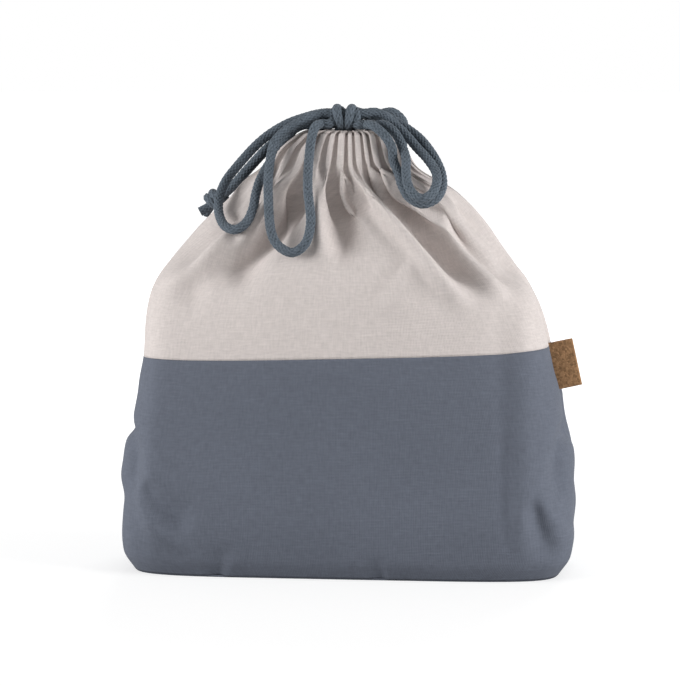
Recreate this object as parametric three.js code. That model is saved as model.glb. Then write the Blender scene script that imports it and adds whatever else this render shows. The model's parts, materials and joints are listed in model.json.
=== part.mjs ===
// Gathered cotton lunch bag: a boxed base, two-colour walls, a drawstring mouth tied in a bow
// and a folded cork tag in the side seam.
// Millimetres, +Z up. The origin is the middle of the base's underside, and the front faces -Y.

import * as THREE from "three";

// Driving dimensions

// The cloth walls are level sections from the foot to the mouth. Each has its rise above the
// section below it, half its width, half its depth and its squareness (2 is an ellipse).
const FOOT = { rise: 0, halfWidth: 112, halfDepth: 48, squareness: 5.5 };
const HEEL = { rise: 10, halfWidth: 118, halfDepth: 53, squareness: 5 };
const BELLY = { rise: 24, halfWidth: 119.5, halfDepth: 56, squareness: 4.5 };
const WAIST = { rise: 38, halfWidth: 115.5, halfDepth: 56, squareness: 4 };
const BAND = { rise: 43.5, halfWidth: 107.5, halfDepth: 54.5, squareness: 3.4 };
const SHOULDER = { rise: 31.5, halfWidth: 101, halfDepth: 51, squareness: 3 };
const SLOPE = { rise: 29, halfWidth: 80.5, halfDepth: 42, squareness: 2.6 };
const COLLAR = { rise: 23, halfWidth: 56, halfDepth: 30, squareness: 2.3 };
const NECK = { rise: 13, halfWidth: 35, halfDepth: 23.5, squareness: 2.2 };
const MOUTH = { rise: 18, halfWidth: 26, halfDepth: 20, squareness: 2.2 };

const CLOTH_THICKNESS = 1.2;
const FIT_GAP = 0.3;
const PLEATS_PER_SIDE = 7;
const PLEAT_DEPTH = 1.4;

const SLIT_BELOW_CASING = 20;
const SLIT_HALF_WIDTH = 6.5;

const SEAM_DEPTH = 9;
const SEAM_THICKNESS = 2.2;
const SIDE_SEAM_START = 12;
const SIDE_SEAM_CLEARANCE = 2.1;
const BAND_SEAM_DROP = 9;
const BAND_SEAM_THICKNESS = 1.6;
const CORNER_SEAM_LENGTH = 64;
const CORNER_SEAM_HEIGHT = 8;
const CORNER_SEAM_CLEARANCE = 1;

const TAG_HEIGHT = 25;
const TAG_REACH = 12;
const TAG_LAYER = 0.75;
const TAG_FOLD_GAP = 0.25;
const TAG_BELOW_BAND = 3.5;

const CORD_DIAMETER = 6;
const CORD_CLEARANCE = 0.7;
const CORD_SPACING = 7.2;
const CORD_SIDES = 8;
const CORD_STEP = 6;

const KNOT_WIDTH = 15;
const KNOT_DEPTH = 17.5;
const KNOT_HEIGHT = 14.4;
const KNOT_CORNER = 5;
const KNOT_BEVEL = 2.5;
const KNOT_LEFT = -9.5;
const KNOT_BACK = 0.5;
const KNOT_GAP = 0.5;
const KNOT_EXIT = 3;

const END_KNOT_RADIUS = 7;
const END_KNOT_LENGTH = 11;
const CUT_END_RADIUS = 4.2;
const CUT_END_LENGTH = 6;

const CREAM = 0xcdc5c0;
const SLATE = 0x636873;
const CORD_BLUE = 0x5f676e;
const CORK = 0x8a6a50;

// Heights and depths worked out from the driving dimensions

const SECTIONS = [FOOT, HEEL, BELLY, WAIST, BAND, SHOULDER, SLOPE, COLLAR, NECK, MOUTH];
const heightOf = (section) => {
  const below = SECTIONS.slice(0, SECTIONS.indexOf(section) + 1);
  return below.reduce((sum, each) => sum + each.rise, 0);
};
const BAND_HEIGHT = heightOf(BAND);
const NECK_HEIGHT = heightOf(NECK);
const MOUTH_HEIGHT = heightOf(MOUTH);
const SLIT_HEIGHT = NECK_HEIGHT - SLIT_BELOW_CASING;
const WALL_START = CLOTH_THICKNESS + FIT_GAP;
const CORD_RADIUS = CORD_DIAMETER / 2;
const CHANNEL_INSET = CLOTH_THICKNESS + PLEAT_DEPTH;
const CHANNEL_DEPTH = CORD_DIAMETER + 2 * CORD_CLEARANCE;
const CASING_DEPTH = CHANNEL_INSET + CHANNEL_DEPTH + CLOTH_THICKNESS;
const CASING_MIDDLE = (NECK_HEIGHT + MOUTH_HEIGHT) / 2;
const UPPER_CORD_LEVEL = CASING_MIDDLE + CORD_SPACING / 2;
const LOWER_CORD_LEVEL = CASING_MIDDLE - CORD_SPACING / 2;
const CORD_INSET = CHANNEL_INSET + CHANNEL_DEPTH / 2;
const KNOT_BOTTOM = MOUTH_HEIGHT + FIT_GAP;

const bag = new THREE.Group();

const finish = (color, roughness) =>
  new THREE.MeshStandardMaterial({ color, roughness, metalness: 0 });

function addPart(name, geometry, material, parent = bag) {
  const mesh = new THREE.Mesh(geometry, material);
  mesh.name = name;
  parent.add(mesh);
  return mesh;
}

// Levels at which the walls are built: the named sections and the middles between them
const SECTION_HEIGHTS = SECTIONS.map(heightOf);
const LEVELS = SECTION_HEIGHTS.flatMap((height, i) =>
  i === 0 ? [height] : [(SECTION_HEIGHTS[i - 1] + height) / 2, height]);

function levelsBetween(bottom, top) {
  const between = LEVELS.filter((level) => level > bottom + FIT_GAP && level < top - FIT_GAP);
  return [bottom, ...between, top];
}

// The wall's level section at any height: monotone cubic curves through the named sections

function throughSections(field) {
  const heights = SECTION_HEIGHTS;
  const values = SECTIONS.map((section) => section[field]);
  const rises = heights.slice(1).map((h, i) => h - heights[i]);
  const slopes = rises.map((rise, i) => (values[i + 1] - values[i]) / rise);
  const tangents = values.map((_, i) => {
    if (i === 0) return slopes[0];
    if (i === slopes.length) return slopes[i - 1];
    if (slopes[i - 1] * slopes[i] <= 0) return 0;
    const before = 2 * rises[i] + rises[i - 1];
    const after = rises[i] + 2 * rises[i - 1];
    return (before + after) / (before / slopes[i - 1] + after / slopes[i]);
  });
  return (height) => {
    const above = heights.findIndex((h, i) => i > 0 && h >= height);
    const i = (above === -1 ? heights.length - 1 : above) - 1;
    const s = (height - heights[i]) / rises[i];
    const start = (1 + 2 * s) * (1 - s) ** 2 * values[i];
    const startTurn = s * (1 - s) ** 2 * rises[i] * tangents[i];
    const end = s * s * (3 - 2 * s) * values[i + 1];
    const endTurn = s * s * (s - 1) * rises[i] * tangents[i + 1];
    return start + startTurn + end + endTurn;
  };
}

const halfWidthAt = throughSections("halfWidth");
const halfDepthAt = throughSections("halfDepth");
const squarenessAt = throughSections("squareness");

// A point of the wall: the angle runs anticlockwise from +X, and the inset goes into the bag
function wallPoint(angle, height, inset) {
  const power = 2 / squarenessAt(height);
  const along = Math.cos(angle);
  const across = Math.sin(angle);
  return new THREE.Vector3(
    (halfWidthAt(height) - inset) * Math.sign(along) * Math.abs(along) ** power,
    (halfDepthAt(height) - inset) * Math.sign(across) * Math.abs(across) ** power,
    height,
  );
}

// The angle past the side where the wall, at this inset, is a given distance from the middle plane
function angleAtDistance(distance, height, inset) {
  const share = distance / (halfDepthAt(height) - inset);
  return Math.asin(share ** (squarenessAt(height) / 2));
}

// Angles across one half of the wall, front (-1) or back (+1), between its two upright edges
function anglesAcross(side, edge, height, inset, columns) {
  const trim = angleAtDistance(edge, height, inset);
  const start = side < 0 ? -Math.PI + trim : trim;
  const sweep = Math.PI - 2 * trim;
  return Array.from({ length: columns + 1 }, (_, i) => start + (sweep * i) / columns);
}

// Pleats grow from nothing at the shoulder to their full depth at the neck
function pleatInset(height, share) {
  const start = heightOf(SHOULDER);
  const growth = THREE.MathUtils.smoothstep(height, start, NECK_HEIGHT);
  const wave = 0.5 - 0.5 * Math.cos(2 * Math.PI * PLEATS_PER_SIDE * share);
  return PLEAT_DEPTH * growth * wave;
}

function closedGeometry(points, triangles) {
  const geometry = new THREE.BufferGeometry();
  geometry.setAttribute(
    "position",
    new THREE.Float32BufferAttribute(points.flatMap((p) => [p.x, p.y, p.z]), 3),
  );
  geometry.setIndex(triangles);
  geometry.computeVertexNormals();
  return geometry;
}

const splitQuads = (quads) => quads.flatMap(([a, b, c, d]) => [a, b, c, a, c, d]);

// A closed sheet of cloth from two grids of points, its outer and its inner face
function sheetGeometry(outer, inner) {
  const rows = outer.length - 1;
  const columns = outer[0].length - 1;
  const width = columns + 1;
  const count = (rows + 1) * width;
  const out = (i, j) => i * width + j;
  const into = (i, j) => count + i * width + j;
  const quads = [];
  for (let i = 0; i < rows; i += 1) {
    for (let j = 0; j < columns; j += 1) {
      quads.push([out(i, j), out(i, j + 1), out(i + 1, j + 1), out(i + 1, j)]);
      quads.push([into(i, j), into(i + 1, j), into(i + 1, j + 1), into(i, j + 1)]);
    }
    quads.push([out(i, 0), out(i + 1, 0), into(i + 1, 0), into(i, 0)]);
    quads.push([out(i + 1, columns), out(i, columns), into(i, columns), into(i + 1, columns)]);
  }
  for (let j = 0; j < columns; j += 1) {
    quads.push([out(0, j + 1), out(0, j), into(0, j), into(0, j + 1)]);
    quads.push([out(rows, j), out(rows, j + 1), into(rows, j + 1), into(rows, j)]);
  }
  return closedGeometry([...outer.flat(), ...inner.flat()], splitQuads(quads));
}

// One half of the wall between two heights, as a sheet that lies at an inset from the wall's face
function wallSheet({ side, bottom, top, columns, edge, inset = 0, thickness, pleated }) {
  const grid = (depth) =>
    levelsBetween(bottom, top).map((height) => {
      const angles = anglesAcross(side, edge, height, depth, columns);
      return angles.map((angle, column) => {
        const pleat = pleated ? pleatInset(height, column / columns) : 0;
        const point = wallPoint(angle, height, depth + pleat);
        if (column === 0 || column === columns) point.y = side * edge;
        return point;
      });
    });
  return sheetGeometry(grid(inset), grid(inset + thickness));
}

// Base and walls

const slateCloth = finish(SLATE, 0.92);
const creamCloth = finish(CREAM, 0.92);
const HALF_GAP = FIT_GAP / 2;

function addBase() {
  const columns = 32;
  const outline = new THREE.Shape();
  for (let i = 0; i < columns; i += 1) {
    const point = wallPoint((2 * Math.PI * i) / columns, 0, 0);
    if (i === 0) outline.moveTo(point.x, point.y);
    else outline.lineTo(point.x, point.y);
  }
  outline.closePath();
  const plate = new THREE.ExtrudeGeometry(outline, { depth: CLOTH_THICKNESS, bevelEnabled: false });
  addPart("base_panel", plate, slateCloth);
}

function addWalls() {
  const cloth = { edge: HALF_GAP, thickness: CLOTH_THICKNESS };
  const lower = { ...cloth, bottom: WALL_START, top: BAND_HEIGHT - HALF_GAP, columns: 20 };
  const upper = { ...cloth, bottom: BAND_HEIGHT + HALF_GAP, columns: 28, pleated: true };
  addPart("front_lower_panel", wallSheet({ side: -1, ...lower }), slateCloth);
  addPart("back_lower_panel", wallSheet({ side: 1, ...lower }), slateCloth);
  const frontTop = NECK_HEIGHT - HALF_GAP;
  addPart("front_upper_panel", wallSheet({ side: -1, ...upper, top: frontTop }), creamCloth);
  const backTop = SLIT_HEIGHT - HALF_GAP;
  addPart("back_upper_panel", wallSheet({ side: 1, ...upper, top: backTop }), creamCloth);
  const neck = { ...upper, bottom: SLIT_HEIGHT + HALF_GAP, top: frontTop };
  addPart("back_neck_panel", wallSheet({ side: 1, ...neck }), creamCloth);
}

// A casing is the folded hem at the mouth: a flat tube, open at both side slits, for the cords
function casingGeometry(side) {
  const columns = 28;
  const low = NECK_HEIGHT + HALF_GAP;
  const ring = (column, corners, pleated) =>
    corners.map(([inset, height]) => {
      const angles = anglesAcross(side, SLIT_HALF_WIDTH, height, inset, columns);
      const share = column / columns;
      const pleat = pleated && inset === 0 ? pleatInset(NECK_HEIGHT, share) : 0;
      const point = wallPoint(angles[column], height, inset + pleat);
      if (column === 0 || column === columns) point.y = side * SLIT_HALF_WIDTH;
      return point;
    });
  const hem = [
    [0, low],
    [0, MOUTH_HEIGHT],
    [CASING_DEPTH, MOUTH_HEIGHT],
    [CASING_DEPTH, low],
  ];
  const channelLow = low + CLOTH_THICKNESS;
  const channelHigh = MOUTH_HEIGHT - CLOTH_THICKNESS;
  const channel = [
    [CHANNEL_INSET, channelLow],
    [CHANNEL_INSET, channelHigh],
    [CHANNEL_INSET + CHANNEL_DEPTH, channelHigh],
    [CHANNEL_INSET + CHANNEL_DEPTH, channelLow],
  ];
  const corners = hem.length;
  const points = [];
  for (let column = 0; column <= columns; column += 1) {
    points.push(...ring(column, hem, true), ...ring(column, channel, false));
  }
  const outside = (column, k) => column * 2 * corners + (k % corners);
  const inside = (column, k) => outside(column, k) + corners;
  const quads = [];
  for (let k = 0; k < corners; k += 1) {
    for (let j = 0; j < columns; j += 1) {
      quads.push([outside(j, k), outside(j + 1, k), outside(j + 1, k + 1), outside(j, k + 1)]);
      quads.push([inside(j, k), inside(j, k + 1), inside(j + 1, k + 1), inside(j + 1, k)]);
    }
    quads.push([outside(0, k), outside(0, k + 1), inside(0, k + 1), inside(0, k)]);
    const last = columns;
    quads.push([outside(last, k + 1), outside(last, k), inside(last, k), inside(last, k + 1)]);
  }
  return closedGeometry(points, splitQuads(quads));
}

// Seam allowances inside the bag

function addSeams() {
  const wallInside = CLOTH_THICKNESS + 2 * FIT_GAP;

  // Side seams: the joined edges stand into the bag along both sides, up to the slits
  const heights = levelsBetween(SIDE_SEAM_START, SLIT_HEIGHT);
  const fin = new THREE.Shape();
  heights.forEach((height, i) => {
    const x = halfWidthAt(height) - SIDE_SEAM_CLEARANCE;
    if (i === 0) fin.moveTo(x, height);
    else fin.lineTo(x, height);
  });
  for (const height of [...heights].reverse()) {
    fin.lineTo(halfWidthAt(height) - SIDE_SEAM_CLEARANCE - SEAM_DEPTH, height);
  }
  fin.closePath();
  const finGeometry = new THREE.ExtrudeGeometry(fin, { depth: SEAM_THICKNESS, bevelEnabled: false });
  finGeometry.rotateX(Math.PI / 2);
  finGeometry.translate(0, SEAM_THICKNESS / 2, 0);
  addPart("right_side_seam", finGeometry, creamCloth);
  addPart("left_side_seam", finGeometry.clone().rotateZ(Math.PI), creamCloth);

  // Band seams: the allowance between the two colours is pressed down against the wall
  const pressed = {
    bottom: BAND_HEIGHT - BAND_SEAM_DROP,
    top: BAND_HEIGHT,
    columns: 20,
    edge: SEAM_THICKNESS / 2 + FIT_GAP,
    inset: wallInside,
    thickness: BAND_SEAM_THICKNESS,
  };
  addPart("front_band_seam", wallSheet({ side: -1, ...pressed }), slateCloth);
  addPart("back_band_seam", wallSheet({ side: 1, ...pressed }), slateCloth);

  // Corner seams box the base at its two ends
  const cornerReach = wallPoint(angleAtDistance(CORNER_SEAM_LENGTH / 2, WALL_START, 0), WALL_START, 0);
  const x = cornerReach.x - wallInside - CORNER_SEAM_CLEARANCE - SEAM_THICKNESS / 2;
  const strip = new THREE.BoxGeometry(SEAM_THICKNESS, CORNER_SEAM_LENGTH, CORNER_SEAM_HEIGHT);
  strip.translate(x, 0, WALL_START + CORNER_SEAM_HEIGHT / 2);
  addPart("right_corner_seam", strip, slateCloth);
  addPart("left_corner_seam", strip.clone().rotateZ(Math.PI), slateCloth);
}

// Cork tag: a strip folded in half, its two ends caught in the right side seam. The caught edge is
// round about the line that the tag bends on.

function addTag() {
  const half = TAG_LAYER + TAG_FOLD_GAP / 2;
  const slot = TAG_FOLD_GAP / 2;
  const foldCentre = TAG_REACH - half;
  const fold = new THREE.Shape();
  fold.moveTo(0, -half);
  fold.lineTo(foldCentre, -half);
  fold.absarc(foldCentre, 0, half, -Math.PI / 2, Math.PI / 2, false);
  fold.lineTo(0, half);
  fold.absarc(0, 0, half, Math.PI / 2, 1.5 * Math.PI, false);
  const between = new THREE.Path();
  between.moveTo(0, slot);
  between.lineTo(foldCentre, slot);
  between.absarc(foldCentre, 0, slot, Math.PI / 2, -Math.PI / 2, true);
  between.lineTo(0, -slot);
  between.absarc(0, 0, slot, -Math.PI / 2, -1.5 * Math.PI, true);
  fold.holes.push(between);
  const strip = new THREE.ExtrudeGeometry(fold, {
    depth: TAG_HEIGHT,
    bevelEnabled: false,
    curveSegments: 6,
  });
  strip.translate(0, 0, -TAG_HEIGHT / 2);
  const middle = BAND_HEIGHT - TAG_BELOW_BAND;
  const step = 1;
  const lean = (halfWidthAt(middle + step) - halfWidthAt(middle - step)) / (2 * step);
  const seat = new THREE.Group();
  seat.position.set(halfWidthAt(middle) + half + FIT_GAP, 0, middle);
  seat.rotation.y = Math.atan(lean);
  addPart("side_tag", strip, finish(CORK, 0.85), seat);
  bag.add(seat);
}

// Cords

const cordFinish = finish(CORD_BLUE, 0.9);

// A stretch of a longer strand, between two distances along it
class Stretch extends THREE.Curve {
  constructor(strand, from, to) {
    super();
    this.strand = strand;
    this.from = from;
    this.to = to;
  }

  getPoint(t, target = new THREE.Vector3()) {
    const distance = this.from + (this.to - this.from) * t;
    return this.strand.getPointAt(distance / this.strand.getLength(), target);
  }
}

function strandThrough(route) {
  const points = route.map((p) => (p.isVector3 ? p : new THREE.Vector3(...p)));
  const strand = new THREE.CatmullRomCurve3(points, false, "centripetal");
  const divisionsPerSpan = 24;
  strand.arcLengthDivisions = divisionsPerSpan * (points.length - 1);
  const lengths = strand.getLengths();
  strand.distanceTo = (index) => lengths[divisionsPerSpan * index];
  return strand;
}

// A closed tube along a curve. An end is flat, or round about the point that it turns on.
function cordGeometry(curve, roundStart = false, roundEnd = false) {
  const steps = Math.max(2, Math.round(curve.getLength() / CORD_STEP));
  const frames = curve.computeFrenetFrames(steps, false);
  const capAngles = [Math.PI / 6, Math.PI / 3];
  const rings = [];
  const addRing = (index, radius, along) => rings.push({ index, radius, along });
  if (roundStart) {
    for (const angle of [...capAngles].reverse()) {
      addRing(0, CORD_RADIUS * Math.cos(angle), -CORD_RADIUS * Math.sin(angle));
    }
  }
  for (let index = 0; index <= steps; index += 1) addRing(index, CORD_RADIUS, 0);
  if (roundEnd) {
    for (const angle of capAngles) {
      addRing(steps, CORD_RADIUS * Math.cos(angle), CORD_RADIUS * Math.sin(angle));
    }
  }
  const centreOf = (index, along) =>
    curve.getPointAt(index / steps).addScaledVector(frames.tangents[index], along);
  const points = rings.flatMap(({ index, radius, along }) =>
    Array.from({ length: CORD_SIDES }, (_, side) => {
      const angle = (2 * Math.PI * side) / CORD_SIDES;
      return centreOf(index, along)
        .addScaledVector(frames.normals[index], radius * Math.cos(angle))
        .addScaledVector(frames.binormals[index], radius * Math.sin(angle));
    }));
  const firstTip = points.length;
  points.push(centreOf(0, roundStart ? -CORD_RADIUS : 0));
  points.push(centreOf(steps, roundEnd ? CORD_RADIUS : 0));
  const at = (ring, side) => ring * CORD_SIDES + (side % CORD_SIDES);
  const triangles = [];
  for (let side = 0; side < CORD_SIDES; side += 1) {
    for (let ring = 0; ring + 1 < rings.length; ring += 1) {
      triangles.push(at(ring, side), at(ring, side + 1), at(ring + 1, side + 1));
      triangles.push(at(ring, side), at(ring + 1, side + 1), at(ring + 1, side));
    }
    const last = rings.length - 1;
    triangles.push(firstTip, at(0, side + 1), at(0, side));
    triangles.push(firstTip + 1, at(last, side), at(last, side + 1));
  }
  return closedGeometry(points, triangles);
}

// The places where strands meet the bow knot's left, right, back and under sides
const KNOT_RIGHT = KNOT_LEFT + KNOT_WIDTH;
const leftFace = KNOT_LEFT - KNOT_GAP;
const rightFace = KNOT_RIGHT + KNOT_GAP;
const backFace = KNOT_BACK + KNOT_GAP;
const underFace = KNOT_BOTTOM - KNOT_GAP;

// Each strand leaves the knot squarely, for a short way
const leftExit = leftFace - KNOT_EXIT;
const rightExit = rightFace + KNOT_EXIT;
const backExit = backFace + KNOT_EXIT;
const underExit = underFace - KNOT_EXIT;

// Leads: the drawstrings' ends, from the casings' slits up to the knot
const LEFT_FRONT_LEAD = [
  [-21.7, -3.4, 225.8],
  [-20, -2.6, 229],
  [-17, -1.2, 231.6],
  [leftExit, -1, 233.6],
  [leftFace, -1, 233.6],
];
const LEFT_BACK_LEAD = [
  [-21.5, 3, 224],
  [-18, 2.6, 222.3],
  [-12.5, 1, 222.3],
  [-7.4, -2.6, 224.6],
  [-5.5, -4.5, underExit],
  [-5.5, -4.5, underFace],
];
const RIGHT_FRONT_LEAD = [
  [24.8, -3.2, 217],
  [22.6, -3, 213.8],
  [17, -2.8, 212.6],
  [12.8, -3, 216.4],
  [11.8, -2.8, 223.6],
  [11, -1.4, 230.4],
  [rightExit, -0.5, 233.6],
  [rightFace, -0.5, 233.6],
];
const RIGHT_BACK_LEAD = [
  [24.8, 3, 216.2],
  [23, 3, 212.2],
  [17, 3.2, 209.2],
  [9, 0.6, 210.6],
  [3.6, -3.2, 216.6],
  [1, -4.5, underExit],
  [1, -4.5, underFace],
];

// Bow loops, from the knot, round the loop and back to the knot. Each hangs from two pivots.
const LEFT_LONG_LOOP = {
  name: "left_long_loop",
  route: [
    [leftFace, -14.2, 234.2],
    [leftExit, -14.2, 234.2],
    [-15.8, -18.2, 233.3],
    [-17.6, -21, 228.5],
    [-18.8, -25.6, 215.8],
    [-18.5, -33, 201.7],
    [-16, -42.7, 183.2],
    [-18.6, -46.9, 173.4],
    [-24.6, -48.5, 169.4],
    [-31.4, -46.8, 172.1],
    [-35.8, -43.5, 178],
    [-39.2, -32, 196.8],
    [-39.7, -24.7, 211],
    [-37.3, -19, 225],
    [-32.4, -16.2, 230.4],
    [-25.4, -14.2, 234.6],
    [-18, -12.2, 238.2],
    [leftExit, -10.4, 239.4],
    [leftFace, -10.4, 239.4],
  ],
  pivots: [3, 13],
};
const LEFT_SIDE_LOOP = {
  name: "left_side_loop",
  route: [
    [leftFace, -4, 239.6],
    [leftExit, -4, 239.6],
    [-18, -3.4, 238.8],
    [-24.5, -2.4, 237],
    [-31.4, -1.6, 234.6],
    [-38, -2, 231.2],
    [-45, -2.8, 226.4],
    [-50.6, -4.4, 221.2],
    [-54.4, -5.8, 217],
    [-59.4, -8, 211],
    [-64.2, -11, 204.4],
    [-67, -15, 197],
    [-67, -20.6, 190.4],
    [-64.8, -27.4, 185],
    [-60.6, -34.4, 181.2],
    [-55, -37.8, 180.4],
    [-50, -37, 184],
    [-47.2, -32.8, 190.6],
    [-46.4, -27.2, 198],
    [-45.1, -19.8, 205],
    [-42.4, -13.8, 211.4],
    [-38.9, -10.8, 217],
    [-35, -9.8, 222],
    [-31.4, -8.8, 227.6],
    [-26.6, -7.9, 232.8],
    [-20, -7.5, 233.5],
    [leftExit, -7.4, 233.8],
    [leftFace, -7.4, 233.8],
  ],
  pivots: [8, 21],
};
const RIGHT_FRONT_LOOP = {
  name: "right_front_loop",
  route: [
    [rightFace, -6.9, 233.8],
    [rightExit, -6.9, 233.8],
    [13.6, -10.4, 233.5],
    [19.4, -13.6, 233.8],
    [25.6, -17.2, 229.2],
    [29.49, -19.99, 222],
    [31.6, -25, 216.6],
    [32, -29.8, 210.8],
    [33.2, -35.2, 204.6],
    [36.2, -39, 199.6],
    [41.2, -41.2, 197],
    [45.6, -38.6, 199],
    [48, -33, 204.2],
    [47.2, -26.4, 209.8],
    [42.4, -20.6, 216.4],
    [36.51, -15.21, 222],
    [30.2, -11.8, 228.8],
    [24, -9, 234.2],
    [18.6, -8, 238.4],
    [13.6, -9.2, 240.2],
    [rightExit, -10.2, 239.6],
    [rightFace, -10.2, 239.6],
  ],
  pivots: [5, 15],
};
const RIGHT_BACK_LOOP = {
  name: "right_back_loop",
  route: [
    [rightFace, -14.2, 233.8],
    [rightExit, -14.2, 233.8],
    [13, -18.2, 233.8],
    [17.4, -21.8, 231.2],
    [21.6, -23.6, 227],
    [24.2, -23.6, 222],
    [24.8, -22.8, 216],
    [27.6, -24.6, 209.4],
    [30, -29.2, 203],
    [34, -33.4, 197.2],
    [40.6, -35.2, 194],
    [47, -32.8, 196],
    [50.4, -27.2, 201.4],
    [49.8, -20.6, 208.4],
    [46.4, -15.4, 215.6],
    [41.8, -11.6, 222],
    [37.4, -8, 226.6],
    [31.4, -4.6, 231],
    [25, -2.4, 234.8],
    [18.4, -1.9, 238.2],
    [13, -2.8, 239.8],
    [rightExit, -3.8, 239.6],
    [rightFace, -3.8, 239.6],
  ],
  pivots: [5, 15],
};

// Tails, from the knot's back to their end knots. Each hangs from one pivot.
const LEFT_TAIL_FRONT = {
  name: "left_tail_front",
  route: [
    [-5.2, backFace, 240.6],
    [-5.2, backExit, 240.6],
    [-8.5, 7.2, 240.2],
    [-14.5, 8, 237.8],
    [-24, 6.6, 234.9],
    [-33.8, 5, 229.2],
    [-43.5, 3.8, 221.7],
    [-54.5, 5, 210.4],
    [-62.4, 7, 201.7],
    [-68, 8, 196.8],
  ],
  pivot: 6,
};
const LEFT_TAIL_BACK = {
  name: "left_tail_back",
  route: [
    [-5.2, backFace, 234],
    [-5.2, backExit, 234],
    [-8.2, 10.4, 233.6],
    [-15, 14.4, 234.4],
    [-24.6, 13.6, 233.4],
    [-34.6, 11.8, 228.6],
    [-43.5, 10.3, 221.7],
    [-54.5, 11.5, 210.4],
    [-62.4, 13.5, 201.7],
    [-68, 14.5, 196.8],
  ],
  pivot: 6,
};
const RIGHT_TAIL_OUTER = {
  name: "right_tail_outer",
  route: [
    [1.2, backFace, 240.8],
    [1.2, backExit, 240.8],
    [4.6, 7.2, 239.6],
    [9.5, 8, 237.9],
    [15, 8.2, 238.9],
    [21.4, 9.4, 239.8],
    [26.6, 14, 235],
    [26.5, 20.5, 228],
    [25.5, 24.5, 219],
    [25.6, 28.2, 209.5],
    [27, 33, 200],
    [29, 38.8, 191.5],
    [30, 42.8, 186.5],
  ],
  pivot: 7,
};
const RIGHT_TAIL_INNER = {
  name: "right_tail_inner",
  route: [
    [1.2, backFace, 234.1],
    [1.2, backExit, 234.1],
    [4.2, 10.2, 233.4],
    [10, 14.8, 234.2],
    [15.8, 15.4, 236],
    [19.8, 18, 233.4],
    [20, 20.5, 228],
    [19.2, 24.5, 219],
    [19.2, 28.6, 209.5],
    [20.6, 33.2, 200],
    [22.6, 38.9, 191.5],
    [23.6, 42.9, 186.5],
  ],
  pivot: 6,
};

// A tail's end knot and its cut ends: where it starts, and the way it points
const LEFT_END_KNOT = { start: [-69.1, 11.3, 195.5], along: [-0.75, 0.1, -0.65] };
const RIGHT_END_KNOT = { start: [27, 43.9, 185.4], along: [0.12, 0.75, -0.65] };

// The fixed stretches stop a cord's radius and a gap short of the pivot's ball
const PIVOT_CLEARANCE = CORD_RADIUS + FIT_GAP;

// A drawstring runs round the mouth inside the two casings, bends across one side slit and has
// both its ends out at the other slit, from where they lead up to the bow.
function addDrawstring({ name, level, endsAngle, turn, frontLead, backLead }) {
  const trim = angleAtDistance(SLIT_HALF_WIDTH, level, CORD_INSET);
  const runSpans = 8;
  const bightSpans = 2;
  const ring = [];
  const addArc = (from, to, spans) => {
    for (let i = ring.length === 0 ? 0 : 1; i <= spans; i += 1) {
      const angle = endsAngle + turn * (from + ((to - from) * i) / spans);
      ring.push(wallPoint(angle, level, CORD_INSET));
    }
  };
  addArc(trim, Math.PI - trim, runSpans);
  addArc(Math.PI - trim, Math.PI + trim, bightSpans);
  addArc(Math.PI + trim, 2 * Math.PI - trim, runSpans);
  const strand = strandThrough([...[...frontLead].reverse(), ...ring, ...backLead]);
  const cuts = [0, runSpans, runSpans + bightSpans, 2 * runSpans + bightSpans].map((index) =>
    strand.distanceTo(frontLead.length + index));
  const [frontEnd, bightStart, bightEnd, backEnd] = cuts;
  const pieces = {
    [`${name}_front_lead`]: [-HALF_GAP, frontEnd],
    [`${name}_cord_front_run`]: [frontEnd, bightStart],
    [`${name}_cord_bight`]: [bightStart, bightEnd],
    [`${name}_cord_back_run`]: [bightEnd, backEnd],
    [`${name}_back_lead`]: [backEnd, strand.getLength() + HALF_GAP],
  };
  for (const [piece, [from, to]] of Object.entries(pieces)) {
    const stretch = new Stretch(strand, from + HALF_GAP, to - HALF_GAP);
    addPart(piece, cordGeometry(stretch), cordFinish);
  }
}

function addLoop({ name, route, pivots }) {
  const strand = strandThrough(route);
  const [first, second] = pivots.map((index) => strand.distanceTo(index));
  const root = new Stretch(strand, 0, first - PIVOT_CLEARANCE);
  const hanging = new Stretch(strand, first, second);
  const back = new Stretch(strand, second + PIVOT_CLEARANCE, strand.getLength());
  addPart(`${name}_root`, cordGeometry(root), cordFinish);
  addPart(name, cordGeometry(hanging, true, true), cordFinish);
  addPart(`${name}_return`, cordGeometry(back), cordFinish);
}

function addTail({ name, route, pivot }) {
  const strand = strandThrough(route);
  const distance = strand.distanceTo(pivot);
  const root = new Stretch(strand, 0, distance - PIVOT_CLEARANCE);
  const hanging = new Stretch(strand, distance, strand.getLength());
  addPart(`${name}_root`, cordGeometry(root), cordFinish);
  addPart(`${name}_strand`, cordGeometry(hanging, true, false), cordFinish);
}

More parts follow.
